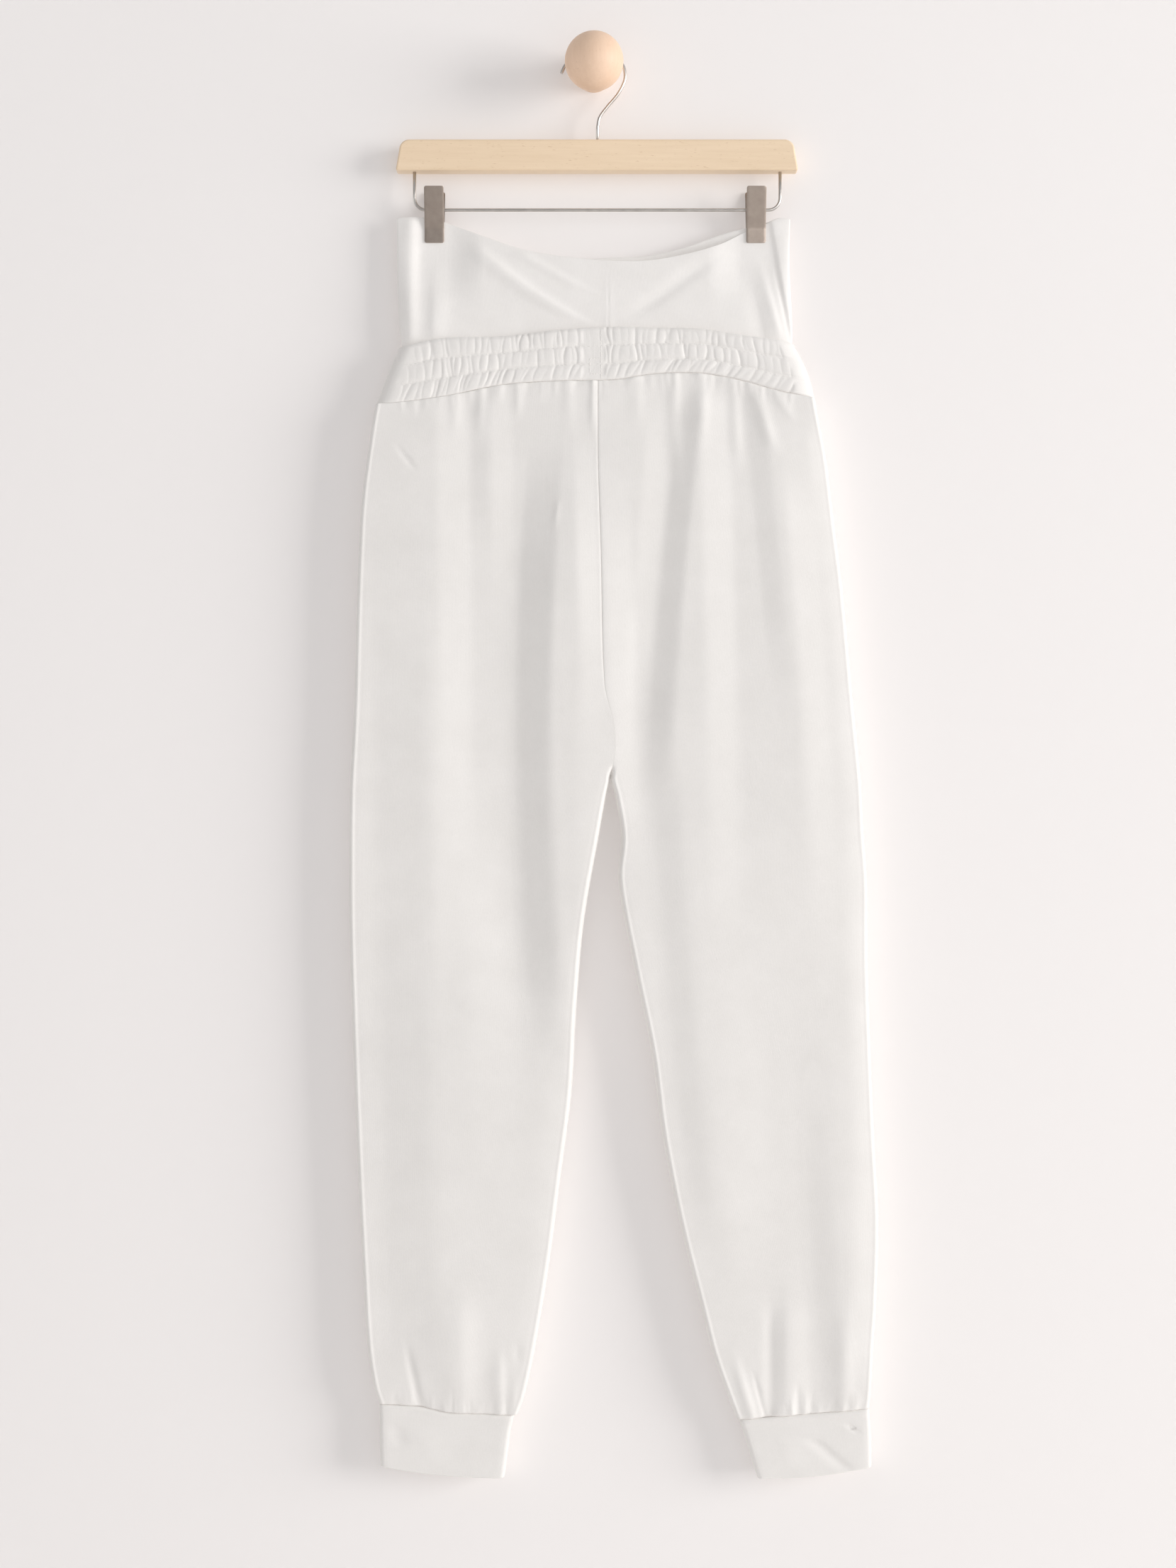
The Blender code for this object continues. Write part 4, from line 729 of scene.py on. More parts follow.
def leg_panel(name, side, layer, middle_count, row_step, folds):
    """One leg panel from the waist seam to the cuff seam and from its inseam to its side."""
    levels = LEFT_LEVELS if side == "left" else RIGHT_LEVELS
    sign = -1 if side == "left" else 1
    edge = "band_low" if layer == "back" else "front_low"
    top, foot = levels[0].z, levels[-1].z
    near = np.array([0.0, 0.0004, 0.0010, 0.0018, 0.0028])
    above = np.concatenate([near, np.arange(0.0042, top - CROTCH_Z, row_step)]) / (top - CROTCH_Z)
    below_length = CROTCH_Z - foot
    below = np.arange(0.0, below_length - 0.004, row_step) / below_length
    below = np.concatenate([below, 1 - near[::-1] / below_length])
    shares = np.concatenate([above, 1 + below])[:, None]
    z = np.where(shares <= 1, lerp(top, CROTCH_Z, shares), lerp(CROTCH_Z, foot, shares - 1))

    def height_at(x, z, share):
        seam = read(WAIST, "x", edge, x) - SEAM_GAP
        high = z + (seam - top) * (1 - ease(share))
        hem = cuff_seam(side, x) + SEAM_GAP
        low = z + (hem - foot) * ease((share - HEM_BEND) / (2 - HEM_BEND))
        return np.where(share <= 1, high, low)

    edge_share = np.linspace(0, 1, EDGE_COUNT)
    into, out = edge_curve(edge_share)
    outer_x = read(levels, "z", "side", z)
    turn = np.where(z > CROTCH_Z, inner_turn(z), 1.0)
    seam_z = height_at(read(CENTRE_SEAM, "z", "x", z), z, shares)
    inner_x = np.where(z > CROTCH_Z, read(CENTRE_SEAM, "z", "x", seam_z), read(levels, "z", "inseam", z))
    inner_x = inner_x + sign * SEAM_TOUCH
    even = np.linspace(0, 1, EDGE_COUNT) ** 1.3
    flat_into = lerp(even, into, turn)
    x_inner = inner_x + sign * flat_into * EDGE_ROUND
    out_inner = lerp(np.ones_like(out), out, turn)
    shares_across = np.linspace(0, 1, middle_count + 2)[1:-1]
    x_middle = lerp(inner_x + sign * EDGE_ROUND, outer_x - sign * EDGE_ROUND, shares_across)
    x_outer = outer_x - sign * into[::-1] * EDGE_ROUND
    x = np.concatenate([x_inner, x_middle, x_outer], axis=1)
    ones = np.ones_like(x_middle)
    out_all = np.concatenate([out_inner, ones, np.broadcast_to(out[::-1], x_outer.shape)], axis=1)
    shares_all = np.broadcast_to(shares, x.shape)
    height = height_at(x, np.broadcast_to(z, x.shape), shares_all)
    depth = read(levels, "z", layer, z)
    lift = relief(folds, x, height)
    if layer == "back":
        lift = lift + long_folds(side, x, height)
        outer_welt = np.exp(-(((sign * (outer_x - x) - WELT_IN) / WELT_HALF) ** 2))
        inner_welt = np.exp(-(((sign * (x - inner_x) - WELT_IN) / WELT_HALF) ** 2)) * turn
        faces_left, faces_right = (outer_welt, inner_welt) if side == "left" else (inner_welt, outer_welt)
        lift = lift + EDGE_WELT["faces_left"] * faces_left + EDGE_WELT["faces_right"] * faces_right
    out_now = (depth + lift) * out_all
    seam_distance = np.abs(x - inner_x) + 0.05 * turn
    fading = 1 - 0.9 * ease((-0.53 - height) / 0.08)
    out_now = out_now - lip(seam_distance, CENTRE_LIP) * (1 - turn) * fading
    waist = read(WAIST, "x", edge, x) - SEAM_GAP
    hem = cuff_seam(side, x) + SEAM_GAP
    waist_depth = waist_lip(x) if layer == "back" else LIP_DEPTH
    out_now = out_now - lip(waist - height, waist_depth) * out_all - lip(height - hem) * out_all
    direction = -1 if layer == "back" else 1
    y = HANG_Y + direction * (HALF_GAP + np.maximum(out_now, 0.0))
    grid = np.stack([x, y, height], axis=-1)
    tuck_top = grid[:1] + np.array([0, -direction * 0.0015, 0.0])
    tuck_foot = grid[-1:] + np.array([0, -direction * 0.0015, 0.0])
    grid = np.concatenate([tuck_top, grid, tuck_foot], axis=0)
    return cloth(name, grid, SWEAT, outward=(0, direction, 0))


def waist_line(x):
    return read(WAIST, "x", "band_low", x)


def front_line(x):
    return read(WAIST, "x", "front_low", x)


def hem_line(side):
    return lambda x: cuff_seam(side, x)


SIDE_RANGE = {"left": (-0.180, 0.002), "right": (0.006, 0.185)}
HEM_RANGE = {"left": (-0.190, -0.080), "right": (0.146, 0.248)}
for seed, side in enumerate(("left", "right")):
    fine = pucker_folds(11 + seed, 34, SIDE_RANGE[side], waist_line, -1, (0.008, 0.028),
                        (0.0002, 0.0006), (0.0016, 0.0032))
    fine += pucker_folds(21 + seed, 18, HEM_RANGE[side], hem_line(side), 1, (0.008, 0.030),
                         (0.0002, 0.0006), (0.0016, 0.0034))
    leg_panel(f"{side}_leg_back_cloth", side, "back", 118, 0.0019,
                                     list(SHORT_FOLDS) + fine)
    hidden = pucker_folds(31 + seed, 16, SIDE_RANGE[side], front_line, -1, (0.008, 0.022),
                          (0.0002, 0.0005), (0.0018, 0.0034))
    hidden += pucker_folds(41 + seed, 14, HEM_RANGE[side], hem_line(side), 1, (0.010, 0.030),
                           (0.0002, 0.0006), (0.0018, 0.0034))
    leg_panel(f"{side}_leg_front_cloth", side, "front", 60, 0.0034,
                                      list(FRONT_FOLDS) + hidden)
    for layer in ("back", "front"):
        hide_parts(f"{layer}_{side}_leg")


# Waistband

CasingPlan = namedtuple("CasingPlan", "start end pitch depth slant_left slant_right seed")
CASINGS = (
    CasingPlan(0.00, 0.33, 0.0074, 0.00085, 0.0004, 0.0016, 5),
    CasingPlan(0.33, 0.68, 0.0072, 0.00085, -0.0004, 0.0018, 6),
    CasingPlan(0.68, 1.00, 0.0076, 0.00085, -0.0060, -0.0090, 7),
)
CASING_PUFF = 0.0011
STITCH_DIP = 0.0005


def round_off(share, width, radius):
    inward = np.minimum(share, 1 - share) * width
    return np.sqrt(np.clip(1 - (1 - np.clip(inward / radius, 0, 1)) ** 2, 0, 1))


def band_place(across, down, layer):
    """A point on the band's plain outer face."""
    left = read(BAND_SIDES, "down", "left", down)
    right = read(BAND_SIDES, "down", "right", down)
    x = lerp(left, right, across)
    names = ("band_top", "band_low") if layer == "back" else ("front_top", "front_low")
    top, low = (read(WAIST, "x", name, x) for name in names)
    depth = lerp(*BAND_DEPTH[layer], down)
    near_left = round_off(across, right - left, BAND_ROUND_LEFT)
    out = np.where(across < 0.5, near_left, round_off(across, right - left, BAND_ROUND))
    direction = -1 if layer == "back" else 1
    return x, HANG_Y + direction * (HALF_GAP + depth * out), lerp(top, low, down), (left, right)


def gather(x, down, left, right):
    """The lift of the gathered band: soft puffs between uneven sharp creases, in each casing."""
    lift = np.zeros_like(x)
    for plan in CASINGS:
        chance = np.random.default_rng(plan.seed)
        inside = (down >= plan.start) & (down <= plan.end)
        within = np.clip((down - plan.start) / (plan.end - plan.start), 0, 1)
        slant = lerp(plan.slant_left, plan.slant_right, ease((x + 0.06) / 0.2))
        wave = CASING_PUFF * np.sin(math.pi * within) ** 0.7
        centre = -0.215
        while centre < 0.215:
            centre += plan.pitch * chance.uniform(0.42, 1.25)
            deep = plan.depth * chance.uniform(0.25, 1.5)
            half_left, half_right = chance.uniform(0.0011, 0.0026, 2)
            lean, bend = chance.uniform(-0.0028, 0.0028), chance.uniform(-0.0014, 0.0014)
            early, late = chance.uniform(0.0, 0.9, 2)
            middle = centre + (slant + lean) * (within - 0.5) + bend * np.sin(math.pi * within)
            away = np.abs(x - middle) / np.where(x < middle, half_left, half_right)
            strong = 1 - early * (1 - within) ** 2 - late * within ** 2
            wave = wave - deep * strong * np.exp(-(away ** 1.25))
        lift = np.where(inside, wave, lift)
    strip = ease((x - STRIP_LEFT) / STRIP_SOFT + 1) * ease((STRIP_RIGHT - x) / STRIP_SOFT + 1)
    calm = ease((x - left) / LEFT_CALM) * ease((right - x) / RIGHT_CALM)
    low_calm = 0.25 + 0.75 * calm
    lift = lift * lerp(1.0, 0.20, strip) * np.where(calm < 1, low_calm * calm ** 0.5, 1.0)
    for stitched in (CASINGS[0].end, CASINGS[1].end):
        lift = lift - STITCH_DIP * np.exp(-(((down - stitched) / 0.028) ** 2)) * calm * (1 - strip)
    return lift


def folded_band(name, layer, across_count, down_count, wall, relief_of):
    """Half of the waistband: its outer face, its folded top edge and its inner face."""
    cosine = 0.5 - 0.5 * np.cos(math.pi * np.linspace(0, 1, 33))
    ends = np.concatenate([cosine[:6] * 0.35, [0.036]])
    across = np.concatenate([ends, np.linspace(0.045, 0.955, across_count), 1 - ends[::-1]])[None, :]
    downs = np.linspace(0, 1, down_count)
    low_lip = np.array([0.955, 0.975, 0.99, 1.0])
    downs = np.concatenate([downs[downs < 0.94], low_lip])[:, None]
    x, y, z, (left, right) = band_place(across, downs, layer)
    direction = -1 if layer == "back" else 1
    out = np.abs(y - HANG_Y)
    lift = relief_of(x, np.broadcast_to(downs, x.shape), left, right)
    share = round_off(across, right - left, BAND_ROUND_LEFT)
    top, low = z[:1], z[-1:]
    distance_low = z - low
    low_dip, top_dip = lip(distance_low, waist_lip(x)), 0.5 * lip((top - z) * 0.8)
    out_now = out + lift * share - low_dip * share - top_dip * share
    outer = np.stack([x, HANG_Y + direction * out_now, z - 0.0010 * (1 - downs)], axis=-1)
    fold = []
    first_out = out_now[:1]
    for turn in np.linspace(0, math.pi, 7)[1:]:
        out_here = first_out - wall / 2 * (1 - np.cos(turn)) * np.minimum(1.0, share[:1] + 0.05)
        lifted = top - 0.0010 + 0.0010 * np.sin(turn)
        fold.append(np.stack([x[:1], HANG_Y + direction * np.maximum(out_here, HALF_GAP), lifted], axis=-1))
    inner_rows = []
    for row in (6, 14, -1):
        out_here = np.maximum(out[row:row + 1 or None] - wall, HALF_GAP)
        inner_rows.append(np.stack([x[row:row + 1 or None], HANG_Y + direction * out_here,
                                    z[row:row + 1 or None]], axis=-1))
    grid = np.concatenate(inner_rows[::-1] + fold[::-1] + [outer], axis=0)
    made = cloth(name, grid, SWEAT)
    return made, grid, len(inner_rows) + len(fold)


def plain_band(x, down, left, right):
    """Very slight waves over the plain front of the band."""
    wave = 0.0004 * np.sin(x * 95 + 1.7 * np.sin(x * 31)) * np.sin(math.pi * down)
    return wave + 0.0005 * np.sin(math.pi * down)


back_band, band_grid, band_first = folded_band("waistband_back_cloth", "back", 700, 44, BAND_WALL, gather)
front_band = folded_band("waistband_front_cloth", "front", 180, 22, BAND_WALL, plain_band)[0]
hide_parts("back_waistband")
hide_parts("front_waistband")


# Belly panel

def pinch(x, z):
    below = ease(1 - (CLIP_BOTTOM - PINCH_MARGIN - z) / PINCH_FADE)
    nearest = np.minimum(np.abs(x - CLIP_X["left"]), np.abs(x - CLIP_X["right"]))
    near = ease(1 - (nearest - CLIP_WIDTH / 2 - PINCH_MARGIN) / PINCH_HALF)
    return near * below


def belly_point(across, down, layer):
    guess = lerp(BELLY_LEVELS[0].left, BELLY_LEVELS[0].right, across)
    top = read(BELLY_TOP, "x", layer, guess)
    foot_x = lerp(BELLY_LEVELS[-1].left, BELLY_LEVELS[-1].right, across)
    foot = read(WAIST, "x", "band_low" if layer == "near" else "front_low", foot_x) + 0.004
    z = lerp(top, foot, down)
    level = np.maximum(z, BELLY_LEVELS[-1].z)
    left = read(BELLY_LEVELS, "z", "left", level)
    right = read(BELLY_LEVELS, "z", "right", level)
    x = lerp(left, right, across)
    depth = read(BELLY_LEVELS, "z", layer, level)
    if layer == "near":
        depth = depth + relief(BELLY_FOLDS, x, z)
        seam = np.abs(x - BELLY_SEAM_X)
        sewn = 0.0003 * np.exp(-((seam / 0.004) ** 2)) - 0.0004 * np.exp(-((seam / 0.0007) ** 2))
        depth = depth + sewn * ease((-0.185 - z) / 0.03)
    held = PANEL_WALL + HALF_GAP
    depth = np.maximum(lerp(depth, held, pinch(x, z)), held)
    if layer == "near":
        depth = depth + relief(CLIP_FOLDS, x, z)
    depth = held + (depth - held) * round_off(across, right - left, BELLY_ROUND)
    direction = -1 if layer == "near" else 1
    return np.stack([x, HANG_Y + direction * depth, z], axis=-1)


def belly_panel():
    """The tube of doubled jersey: outside, folded top edge and inside."""
    even = np.linspace(0, 1, 300)
    ends = 0.012 * (1 - np.cos(np.linspace(0, math.pi / 2, 10)[:-1]))
    across = np.concatenate([ends, even[4:-4], 1 - ends[::-1]])[None, :]
    downs = np.concatenate([[0, 0.004, 0.010], np.linspace(0.02, 1, 90)])[:, None]
    near = belly_point(across, downs, "near")
    far = belly_point(across, downs, "far")[:, ::-1]
    outer = np.concatenate([near, far[:, 1:-1]], axis=1)
    inner = outer.copy()
    depth = np.abs(outer[..., 1] - HANG_Y)
    direction = np.sign(outer[..., 1] - HANG_Y)
    inner[..., 1] = HANG_Y + direction * np.maximum(depth - PANEL_WALL, HALF_GAP)
    inner[..., 0] = outer[..., 0] * (1 - PANEL_WALL / BELLY_HALF)
    turns = np.linspace(0, math.pi, 7)[1:-1]
    rolled = []
    top_out, top_in = outer[:1], inner[:1]
    for turn in turns:
        share = (1 - math.cos(turn)) / 2
        row = lerp(top_out, top_in, share)
        row = row + np.array([0, 0, 0.0006 * math.sin(turn)])
        rolled.append(row)
    rows = [outer[::-1]] + rolled + [inner[::2]]
    grid = np.concatenate(rows, axis=0)
    made = cloth("belly_panel_cloth", grid, JERSEY, closed=True)
    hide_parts("belly_panel")
    return made


belly = belly_panel()


# Cuffs

def cuff_tube(side):
    table = CUFFS[side]
    downs = np.concatenate([[0, 0.01, 0.022, 0.036, 0.055], np.linspace(0.08, 0.985, 34)])[:, None]
    left = read(table, "down", "left", downs)
    right = read(table, "down", "right", downs)
    z_left = read(table, "down", "z_left", downs)
    z_right = read(table, "down", "z_right", downs)
    into, out = edge_curve(np.linspace(0, 1, EDGE_COUNT))
    middle = np.linspace(0, 1, 62)[1:-1]
    width = right - left
    d = np.concatenate([np.broadcast_to(into * EDGE_ROUND, (len(downs), len(into))),
                        EDGE_ROUND + (width - 2 * EDGE_ROUND) * middle,
                        width - into[::-1] * EDGE_ROUND], axis=1)
    outs = np.concatenate([out, np.ones_like(middle), out[::-1]])[None, :]
    x = left + d
    share = d / width
    z = lerp(z_left, z_right, share) - CUFF_SAG * np.sin(math.pi * share) * downs
    z = z + (cuff_seam(side, x) - lerp(z_left[:1], z_right[:1], share)) * ease(1 - downs / 0.8)
    height = (z - z[-1:]) / (z[:1] - z[-1:])
    crown = 0.0006 * np.sin(math.pi * np.clip(1 - height, 0, 1))
    crown = crown + CUFF_WELT[side] * np.exp(-(((z[:1] - z - 0.0034) / 0.0020) ** 2))
    near_out = (CUFF_BACK + relief(CUFF_FOLDS, x, z) + crown - lip(z[:1] - z)) * outs
    far_out = (CUFF_FRONT + crown - lip(z[:1] - z)) * outs
    near = np.stack([x, HANG_Y - np.maximum(near_out, 0), z], axis=-1)
    far = np.stack([x, HANG_Y + np.maximum(far_out, 0), z], axis=-1)[:, ::-1][:, 1:-1]
    outer = np.concatenate([near, far], axis=1)
    normal = normals_of(outer, closed=True)
    toward = (outer.mean(axis=1, keepdims=True) - outer)
    flip = np.sign((normal * toward).sum(axis=2, keepdims=True))
    normal = normal * np.where(flip == 0, 1, flip)
    inner = outer + normal * CUFF_WALL
    rows = [outer]
    for turn in np.linspace(0, math.pi, 7)[1:-1]:
        share_turn = (1 - math.cos(turn)) / 2
        rows.append(lerp(outer[-1:], inner[-1:], share_turn) - np.array([0, 0, 0.0012 * math.sin(turn)]))
    rows.append(inner[::-2])
    made = cloth(f"cuff_{side}_cloth", np.concatenate(rows, axis=0), CUFF, closed=True)
    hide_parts(f"cuff_{side}")
    return made


cuffs = {side: cuff_tube(side) for side in ("left", "right")}


# Stitching

def stitch_mesh(name, stitches, radius, around=8, along=6):
    """Short rounded stitches, each from a start to an end point with an outward push."""
    points, quads = [], []
    for start, end, push in stitches:
        start, end, push = Vector(start), Vector(end), Vector(push)
        axis = (end - start).normalized()
        side = axis.cross(push).normalized()
        up = side.cross(axis).normalized()
        base = len(points)
        for i in range(along + 1):
            share = i / along
            swell = math.sqrt(max(0.02, 1 - (2 * share - 1) ** 4))
            centre = start.lerp(end, share) + push * (math.sin(math.pi * share) - 0.2)
            for k in range(around):
                turn = 2 * math.pi * k / around
                points.append(centre + (side * math.cos(turn) + up * math.sin(turn)) * radius * swell)
        quads += ring_faces(base, along + 1, around) + ring_ends(base, along + 1, around)
    return piece(name, mesh_of(name, points, quads), THREAD)


def band_surface(x, down):
    """A point on the finished back band, read from its own grid."""
    outer = band_grid[band_first:]
    row = min(range(len(outer)), key=lambda r: abs(r / (len(outer) - 1) - down))
    line = outer[row]
    y, z = (float(np.interp(x, line[:, 0], line[:, column])) for column in (1, 2))
    return Vector((x, y, z))


def row_stitches(down, x_from, x_to, length, gap):
    made, x = [], x_from
    while x + length < x_to:
        start, end = band_surface(x, down), band_surface(x + length, down)
        made.append((start, end, (0, -0.00018, 0)))
        x += length + gap
    return made


stitches = []
for casing in CASINGS[:2]:
    stitches += row_stitches(casing.end, -0.178, 0.178, 0.0030, 0.0011)
back_stitches = stitch_mesh("waistband_stitches", stitches, 0.00020)

SQUARE_LEFT, SQUARE_RIGHT = -0.0040, 0.0066
SQUARE_TOP, SQUARE_LOW = 0.57, 0.86
BAND_TALL = 0.047
STITCH_STEP = 0.0026


def square_stitches():
    """The small stitched square at the centre back, and the line down its right side."""
    made = []
    for down in (SQUARE_TOP, SQUARE_LOW):
        made += row_stitches(down, SQUARE_LEFT, SQUARE_RIGHT + 0.0004, 0.0021, 0.0005)
    for x, low, high in ((SQUARE_LEFT, SQUARE_TOP, SQUARE_LOW), (SQUARE_RIGHT, 0.04, 0.97)):
        count = int((high - low) * BAND_TALL / STITCH_STEP)
        for i in range(count):
            start = band_surface(x, lerp(low, high, i / count))
            end = band_surface(x, lerp(low, high, (i + 0.8) / count))
            made.append((start, end, (0, -0.0002, 0)))
    return made


square = stitch_mesh("centre_back_stitches", square_stitches(), 0.00020)


# Hanger

def tube(name, route, radius, finish, replaced, around=20):
    """A round wire along a route, swept with a frame that doesn't twist."""
    route = [Vector(p) for p in route]
    points = []
    direction = (route[1] - route[0]).normalized()
    side = direction.cross(Vector((0, 1, 0)))
    if side.length < 0.1:
        side = direction.cross(Vector((1, 0, 0)))
    side.normalize()
    for i, place in enumerate(route):
        before = route[max(i - 1, 0)]
        after = route[min(i + 1, len(route) - 1)]
        direction = (after - before).normalized()
        side = (side - direction * side.dot(direction)).normalized()
        up = direction.cross(side)
        for k in range(around):
            turn = 2 * math.pi * k / around
            points.append(place + (side * math.cos(turn) + up * math.sin(turn)) * radius)
    quads = ring_faces(0, len(route), around) + ring_ends(0, len(route), around)
    return piece(name, mesh_of(name, points, quads), finish, replaced)


def through(route, steps):
    points = [Vector(p) for p in route]
    ends = [points[0] * 2 - points[1]] + points + [points[-1] * 2 - points[-2]]
    out = []
    for i in range(1, len(ends) - 2):
        a, b, c, d = ends[i - 1:i + 3]
        for k in range(steps):
            t = k / steps
            out.append(0.5 * (2 * b + (c - a) * t + (2 * a - 5 * b + 4 * c - d) * t * t
                              + (3 * b - a - 3 * c + d) * t ** 3))
    return out + [points[-1]]


RoutePoint = namedtuple("RoutePoint", "x z")
HOOK_ROUTE = (
    RoutePoint(0.0033, -0.0528),
    RoutePoint(0.0053, -0.0436),
    RoutePoint(0.0125, -0.0337),
    RoutePoint(0.0215, -0.0231),
    RoutePoint(0.0274, -0.0125),
    RoutePoint(0.0290, -0.0040),
    RoutePoint(0.0268, 0.0050),
    RoutePoint(0.0200, 0.0122),
    RoutePoint(0.0100, 0.0160),
    RoutePoint(0.0000, NECK_RADIUS + SEAM_GAP + WIRE_RADIUS),
    RoutePoint(-0.0105, 0.0155),
    RoutePoint(-0.0205, 0.0108),
    RoutePoint(-0.0270, 0.0045),
    RoutePoint(-0.0304, -0.0026),
)
hook_points = through([(p.x, HANG_Y, p.z) for p in HOOK_ROUTE], 8)
hook_points = [Vector((HOOK_ROUTE[0].x, HANG_Y, BAR_TOP - 0.0125))] + hook_points
tube("hook_wire", hook_points, WIRE_RADIUS, WIRE, ("hanger_hook",))

rail_route = [(RAIL_LEFT, HANG_Y, BAR_BOTTOM + 0.0125), (RAIL_LEFT, HANG_Y, RAIL_Z + RAIL_BEND + 0.001)]
for k in range(13):
    turn = math.pi / 2 * k / 12
    rail_route.append((RAIL_LEFT + RAIL_BEND * (1 - math.cos(turn)), HANG_Y,
                       RAIL_Z + RAIL_BEND * (1 - math.sin(turn))))
for k in range(12, -1, -1):
    turn = math.pi / 2 * k / 12
    rail_route.append((RAIL_RIGHT - RAIL_BEND * (1 - math.cos(turn)), HANG_Y,
                       RAIL_Z + RAIL_BEND * (1 - math.sin(turn))))
rail_route += [(RAIL_RIGHT, HANG_Y, RAIL_Z + RAIL_BEND + 0.001), (RAIL_RIGHT, HANG_Y, BAR_BOTTOM + 0.0125)]
tube("rail_wire", rail_route, WIRE_RADIUS, WIRE, ("hanger_rail",))


def arc(centre, radius, start, end, steps):
    turns = [math.radians(lerp(start, end, k / steps)) for k in range(steps + 1)]
    return [(centre[0] + radius * math.cos(t), centre[1] + radius * math.sin(t)) for t in turns]


def bevel(made, width, segments, angle=60):
    edge = made.modifiers.new("Eased edges", "BEVEL")
    edge.width = width
    edge.segments = segments
    edge.limit_method = "ANGLE"
    edge.angle_limit = math.radians(angle)
    edge.harden_normals = False


def bar():
    shoulder, slant, corner, low = 0.0095, 0.0030, 0.0020, BAR_BOTTOM - 0.0022
    outline = arc((BAR_LEFT + slant + shoulder, BAR_TOP - shoulder), shoulder, 180, 90, 14)
    outline += arc((BAR_RIGHT - slant - shoulder, BAR_TOP - shoulder), shoulder, 90, 0, 14)
    outline += arc((BAR_RIGHT - corner, low + corner), corner, 0, -90, 5)
    outline += arc((BAR_LEFT + corner, low + corner), corner, -90, -180, 5)
    count = len(outline)
    front = [(x, HANG_Y - BAR_DEPTH / 2, z) for x, z in outline]
    back = [(x, HANG_Y + BAR_DEPTH / 2, z) for x, z in outline]
    faces = [tuple(range(count)), tuple(range(2 * count - 1, count - 1, -1))]
    faces += [(i, (i + 1) % count, count + (i + 1) % count, count + i)[::-1] for i in range(count)]
    made = piece("bar_wood", mesh_of("bar_wood", front + back, faces), BAR_WOOD, ("hanger_bar",))
    bevel(made, 0.0022, 5, 50)
    weighted = made.modifiers.new("Flat faces", "WEIGHTED_NORMAL")
    weighted.keep_sharp = False
    return made


bar()


def rounded_plate(name, middle, layer):
    """A clip's sprung plate: flat jaw, bend and leaning upper part, with round corners."""
    direction = -1 if layer == "front" else 1
    face = HALF_GAP + PANEL_WALL + SEAM_GAP
    jaw_top = CLIP_BOTTOM + CLIP_JAW
    half = CLIP_WIDTH / 2
    corner = 0.0018
    heights = [CLIP_BOTTOM + corner * (1 - math.cos(t)) for t in np.linspace(0, math.pi / 2, 6)]
    heights += [lerp(CLIP_BOTTOM + corner, jaw_top - 0.003, s) for s in (0.33, 0.66, 1.0)]
    heights += [jaw_top + 0.003 * s for s in (-0.66, -0.33, 0.0, 0.33, 0.66, 1.0)]
    heights += [lerp(jaw_top + 0.003, CLIP_TOP - corner, s) for s in np.linspace(0, 1, 9)[1:]]
    heights += [CLIP_TOP - corner * (1 - math.sin(t)) for t in np.linspace(0, math.pi / 2, 6)[1:]]
    points, faces, columns = [], [], 9
    for z in heights:
        edge = 0.0
        for end, sign in ((CLIP_BOTTOM, 1), (CLIP_TOP, -1)):
            near = (z - end) * sign
            if near < corner:
                edge = corner - math.sqrt(max(0.0, corner ** 2 - (corner - near) ** 2))
        away = max(0.0, z - jaw_top) / (CLIP_TOP - jaw_top)
        bend = 0.5 * (z - jaw_top + math.hypot(z - jaw_top, 0.0016)) / (CLIP_TOP - jaw_top)
        y = face + CLIP_SPREAD * min(1.0, lerp(away, bend, 0.8))
        for c in range(columns):
            x = lerp(-half + edge, half - edge, c / (columns - 1))
            points.append((middle + x, HANG_Y + direction * y, z))
    for r in range(len(heights) - 1):
        for c in range(columns - 1):
            a = r * columns + c
            quad = (a, a + 1, a + 1 + columns, a + columns)
            faces.append(quad if direction < 0 else quad[::-1])
    made = piece(name, mesh_of(name, points, faces), CLIP)
    wall = made.modifiers.new("Wall", "SOLIDIFY")
    wall.thickness = CLIP_PLATE
    wall.offset = 1.0
    bevel(made, 0.00028, 3, 40)
    return made


def coil(name, middle):
    """The wound spring round the rail, with one leg out toward the front plate."""
    radius, turns, wire = 0.0042, 9, 0.0006
    route = []
    lean = CLIP_SPREAD / (CLIP_TOP - CLIP_BOTTOM - CLIP_JAW)
    start = middle - 0.0062
    for k in range(turns * 24 + 1):
        turn = 2 * math.pi * k / 24
        route.append((start + 0.0124 * k / (turns * 24), HANG_Y - radius * math.cos(turn),
                      RAIL_Z + radius * math.sin(turn)))
    leg = 0.012
    top = RAIL_Z + leg
    out = radius + lean * leg * 0.85
    route = [(start, HANG_Y - out, top)] + [(start, HANG_Y - radius - 0.0002, RAIL_Z + 0.002)] + route
    return tube(name, route, wire, CLIP, (), around=10)


for side, middle in CLIP_X.items():
    for layer in ("front", "back"):
        plate = rounded_plate(f"clip_{side}_{layer}_plate", middle, layer)
        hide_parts(f"clip_{side}_{layer}_jaw")
    spring = coil(f"clip_{side}_coil", middle)
    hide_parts(f"clip_{side}_spring")


# Wall knob

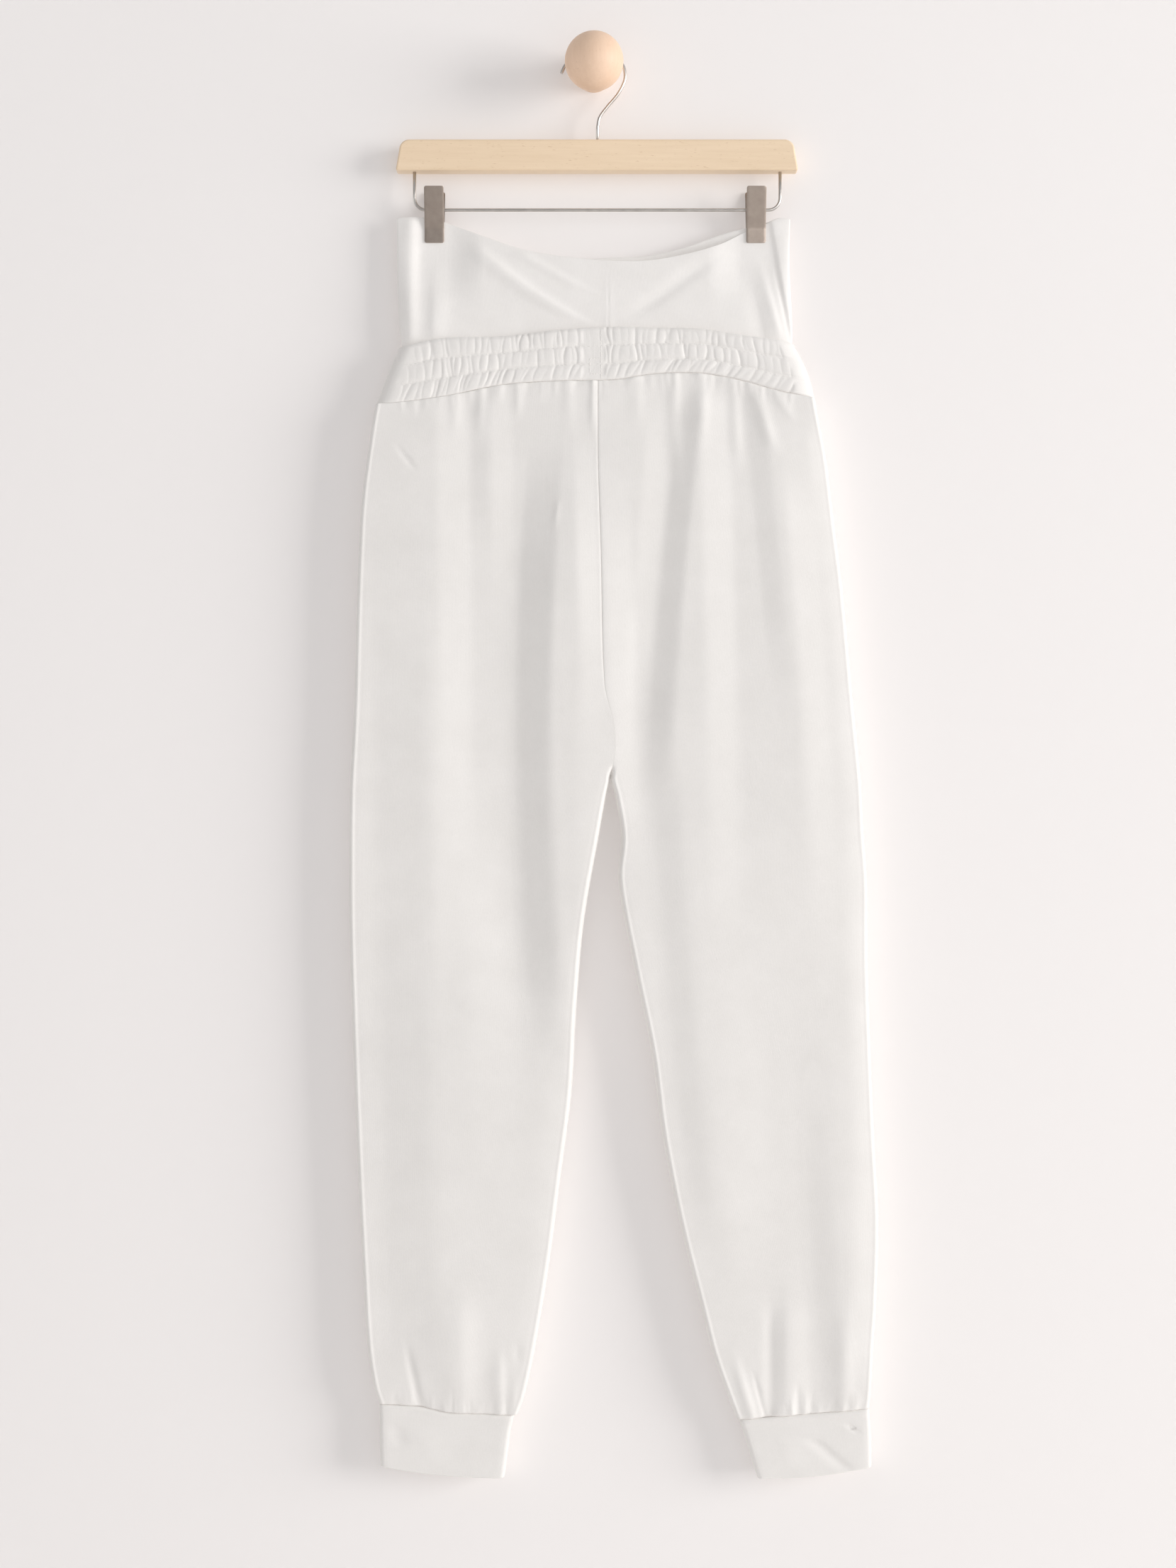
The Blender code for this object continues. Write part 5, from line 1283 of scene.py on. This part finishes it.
def knob():
    meet = BALL_OUT - math.sqrt(BALL_RADIUS ** 2 - NECK_RADIUS ** 2)
    start = math.acos((meet - BALL_OUT) / BALL_RADIUS)
    profile = []
    for k in range(49):
        turn = start * k / 48
        profile.append((BALL_RADIUS * math.sin(turn), BALL_OUT + BALL_RADIUS * math.cos(turn)))
    for k in range(1, 13):
        share = k / 12
        profile.append((NECK_RADIUS + (NECK_FLARE - NECK_RADIUS) * share ** 3, meet * (1 - share)))
    profile.append((0.0, 0.0))
    points, around = [], 96
    for r, out in profile:
        for k in range(around):
            turn = 2 * math.pi * k / around
            points.append((r * math.cos(turn), -out, r * math.sin(turn)))
    mesh = mesh_of("knob_turned", points, ring_faces(0, len(profile), around))
    made = piece("knob_turned", mesh, KNOB_WOOD, ("wall_knob",))
    weld = made.modifiers.new("Weld", "WELD")
    weld.merge_threshold = 0.00002
    made.data.set_sharp_from_angle(angle=math.radians(50))
    return made


knob()


# Leg cuts: a row of layer, flat and area, which nothing uses

LegCut = namedtuple("LegCut", "layer flat area")


# Stage, light and camera

def stage_plane(name, corners, finish):
    mesh = bpy.data.meshes.new(name)
    mesh.from_pydata(corners, [], [(0, 1, 2, 3)])
    mesh.materials.append(finish)
    add_object(name, mesh)


def stage_paint(name, colour, one_sided):
    """Plain matt paint; a wall is clear from behind, so that it doesn't hide the back."""
    made, tree, shader = shader_of(name, 0.9, specular=0.2)
    shader.inputs["Base Color"].default_value = (*colour, 1.0)
    if one_sided:
        side = node(tree, "ShaderNodeNewGeometry").outputs["Backfacing"]
        clear = node(tree, "ShaderNodeBsdfTransparent")
        mix = node(tree, "ShaderNodeMixShader")
        tree.links.new(side, mix.inputs[0])
        tree.links.new(shader.outputs[0], mix.inputs[1])
        tree.links.new(clear.outputs[0], mix.inputs[2])
        tree.links.new(mix.outputs[0], tree.nodes["Material Output"].inputs["Surface"])
    return made


WALL_Y = 0.0004
FLOOR_Z = -1.62
stage_plane("backdrop", [(-4, WALL_Y, FLOOR_Z), (4, WALL_Y, FLOOR_Z), (4, WALL_Y, 2.4), (-4, WALL_Y, 2.4)],
            stage_paint("wall paint", (0.858, 0.825, 0.812), True))
stage_plane("floor", [(-6, -7, FLOOR_Z), (6, -7, FLOOR_Z), (6, 5, FLOOR_Z), (-6, 5, FLOOR_Z)],
            stage_paint("floor paint", (0.78, 0.77, 0.76), False))

world = bpy.data.worlds.new("studio")
bpy.context.scene.world = world
world.use_nodes = True
world.node_tree.nodes["Background"].inputs["Color"].default_value = (0.97, 0.98, 1.0, 1.0)
world.node_tree.nodes["Background"].inputs["Strength"].default_value = 0.45


def area_light(lamp):
    data = bpy.data.lights.new(lamp.name, "AREA")
    data.shape = "RECTANGLE"
    data.size = data.size_y = lamp.size
    data.energy = lamp.power
    data.color = lamp.colour
    data.use_shadow = lamp.shadow
    made = add_object(lamp.name, data)
    made.location = lamp.place
    made.rotation_euler = (Vector(MIDDLE) - Vector(lamp.place)).to_track_quat("-Z", "Y").to_euler()


MIDDLE = (0.0, 0.0, -0.65)
WARM = (1.0, 0.99, 0.98)
WHITE = (1.0, 1.0, 1.0)
Lamp = namedtuple("Lamp", "name place size power colour shadow")
LAMPS = (
    Lamp("key", (9.5, -3.5, 0.5), 4.6, 765, WARM, True),
    Lamp("fill", (2.5, -6.0, 0.3), 3.0, 88, WHITE, False),
    Lamp("left fill", (-6.0, -1.7, -0.2), 3.0, 48, WHITE, False),
    Lamp("floor light", (0.3, -2.6, -4.6), 3.0, 30, WHITE, False),
    Lamp("back", (-0.9, 3.2, 0.3), 2.4, 26, WARM, False),
)
for lamp in LAMPS:
    area_light(lamp)

CAMERA_OUT = 2.2
FRAME_TALL = 1.46
camera_data = bpy.data.cameras.new("camera")
camera_data.sensor_width = 36.0
camera_data.lens = 18.0 / (FRAME_TALL / 2 / CAMERA_OUT)
camera = add_object("camera", camera_data)
camera.location = (-0.0056, -2.215, -0.6646)
camera.rotation_euler = (math.pi / 2, 0, 0)
bpy.context.scene.camera = camera
bpy.context.scene.view_settings.view_transform = "Standard"

bpy.context.view_layer.update()
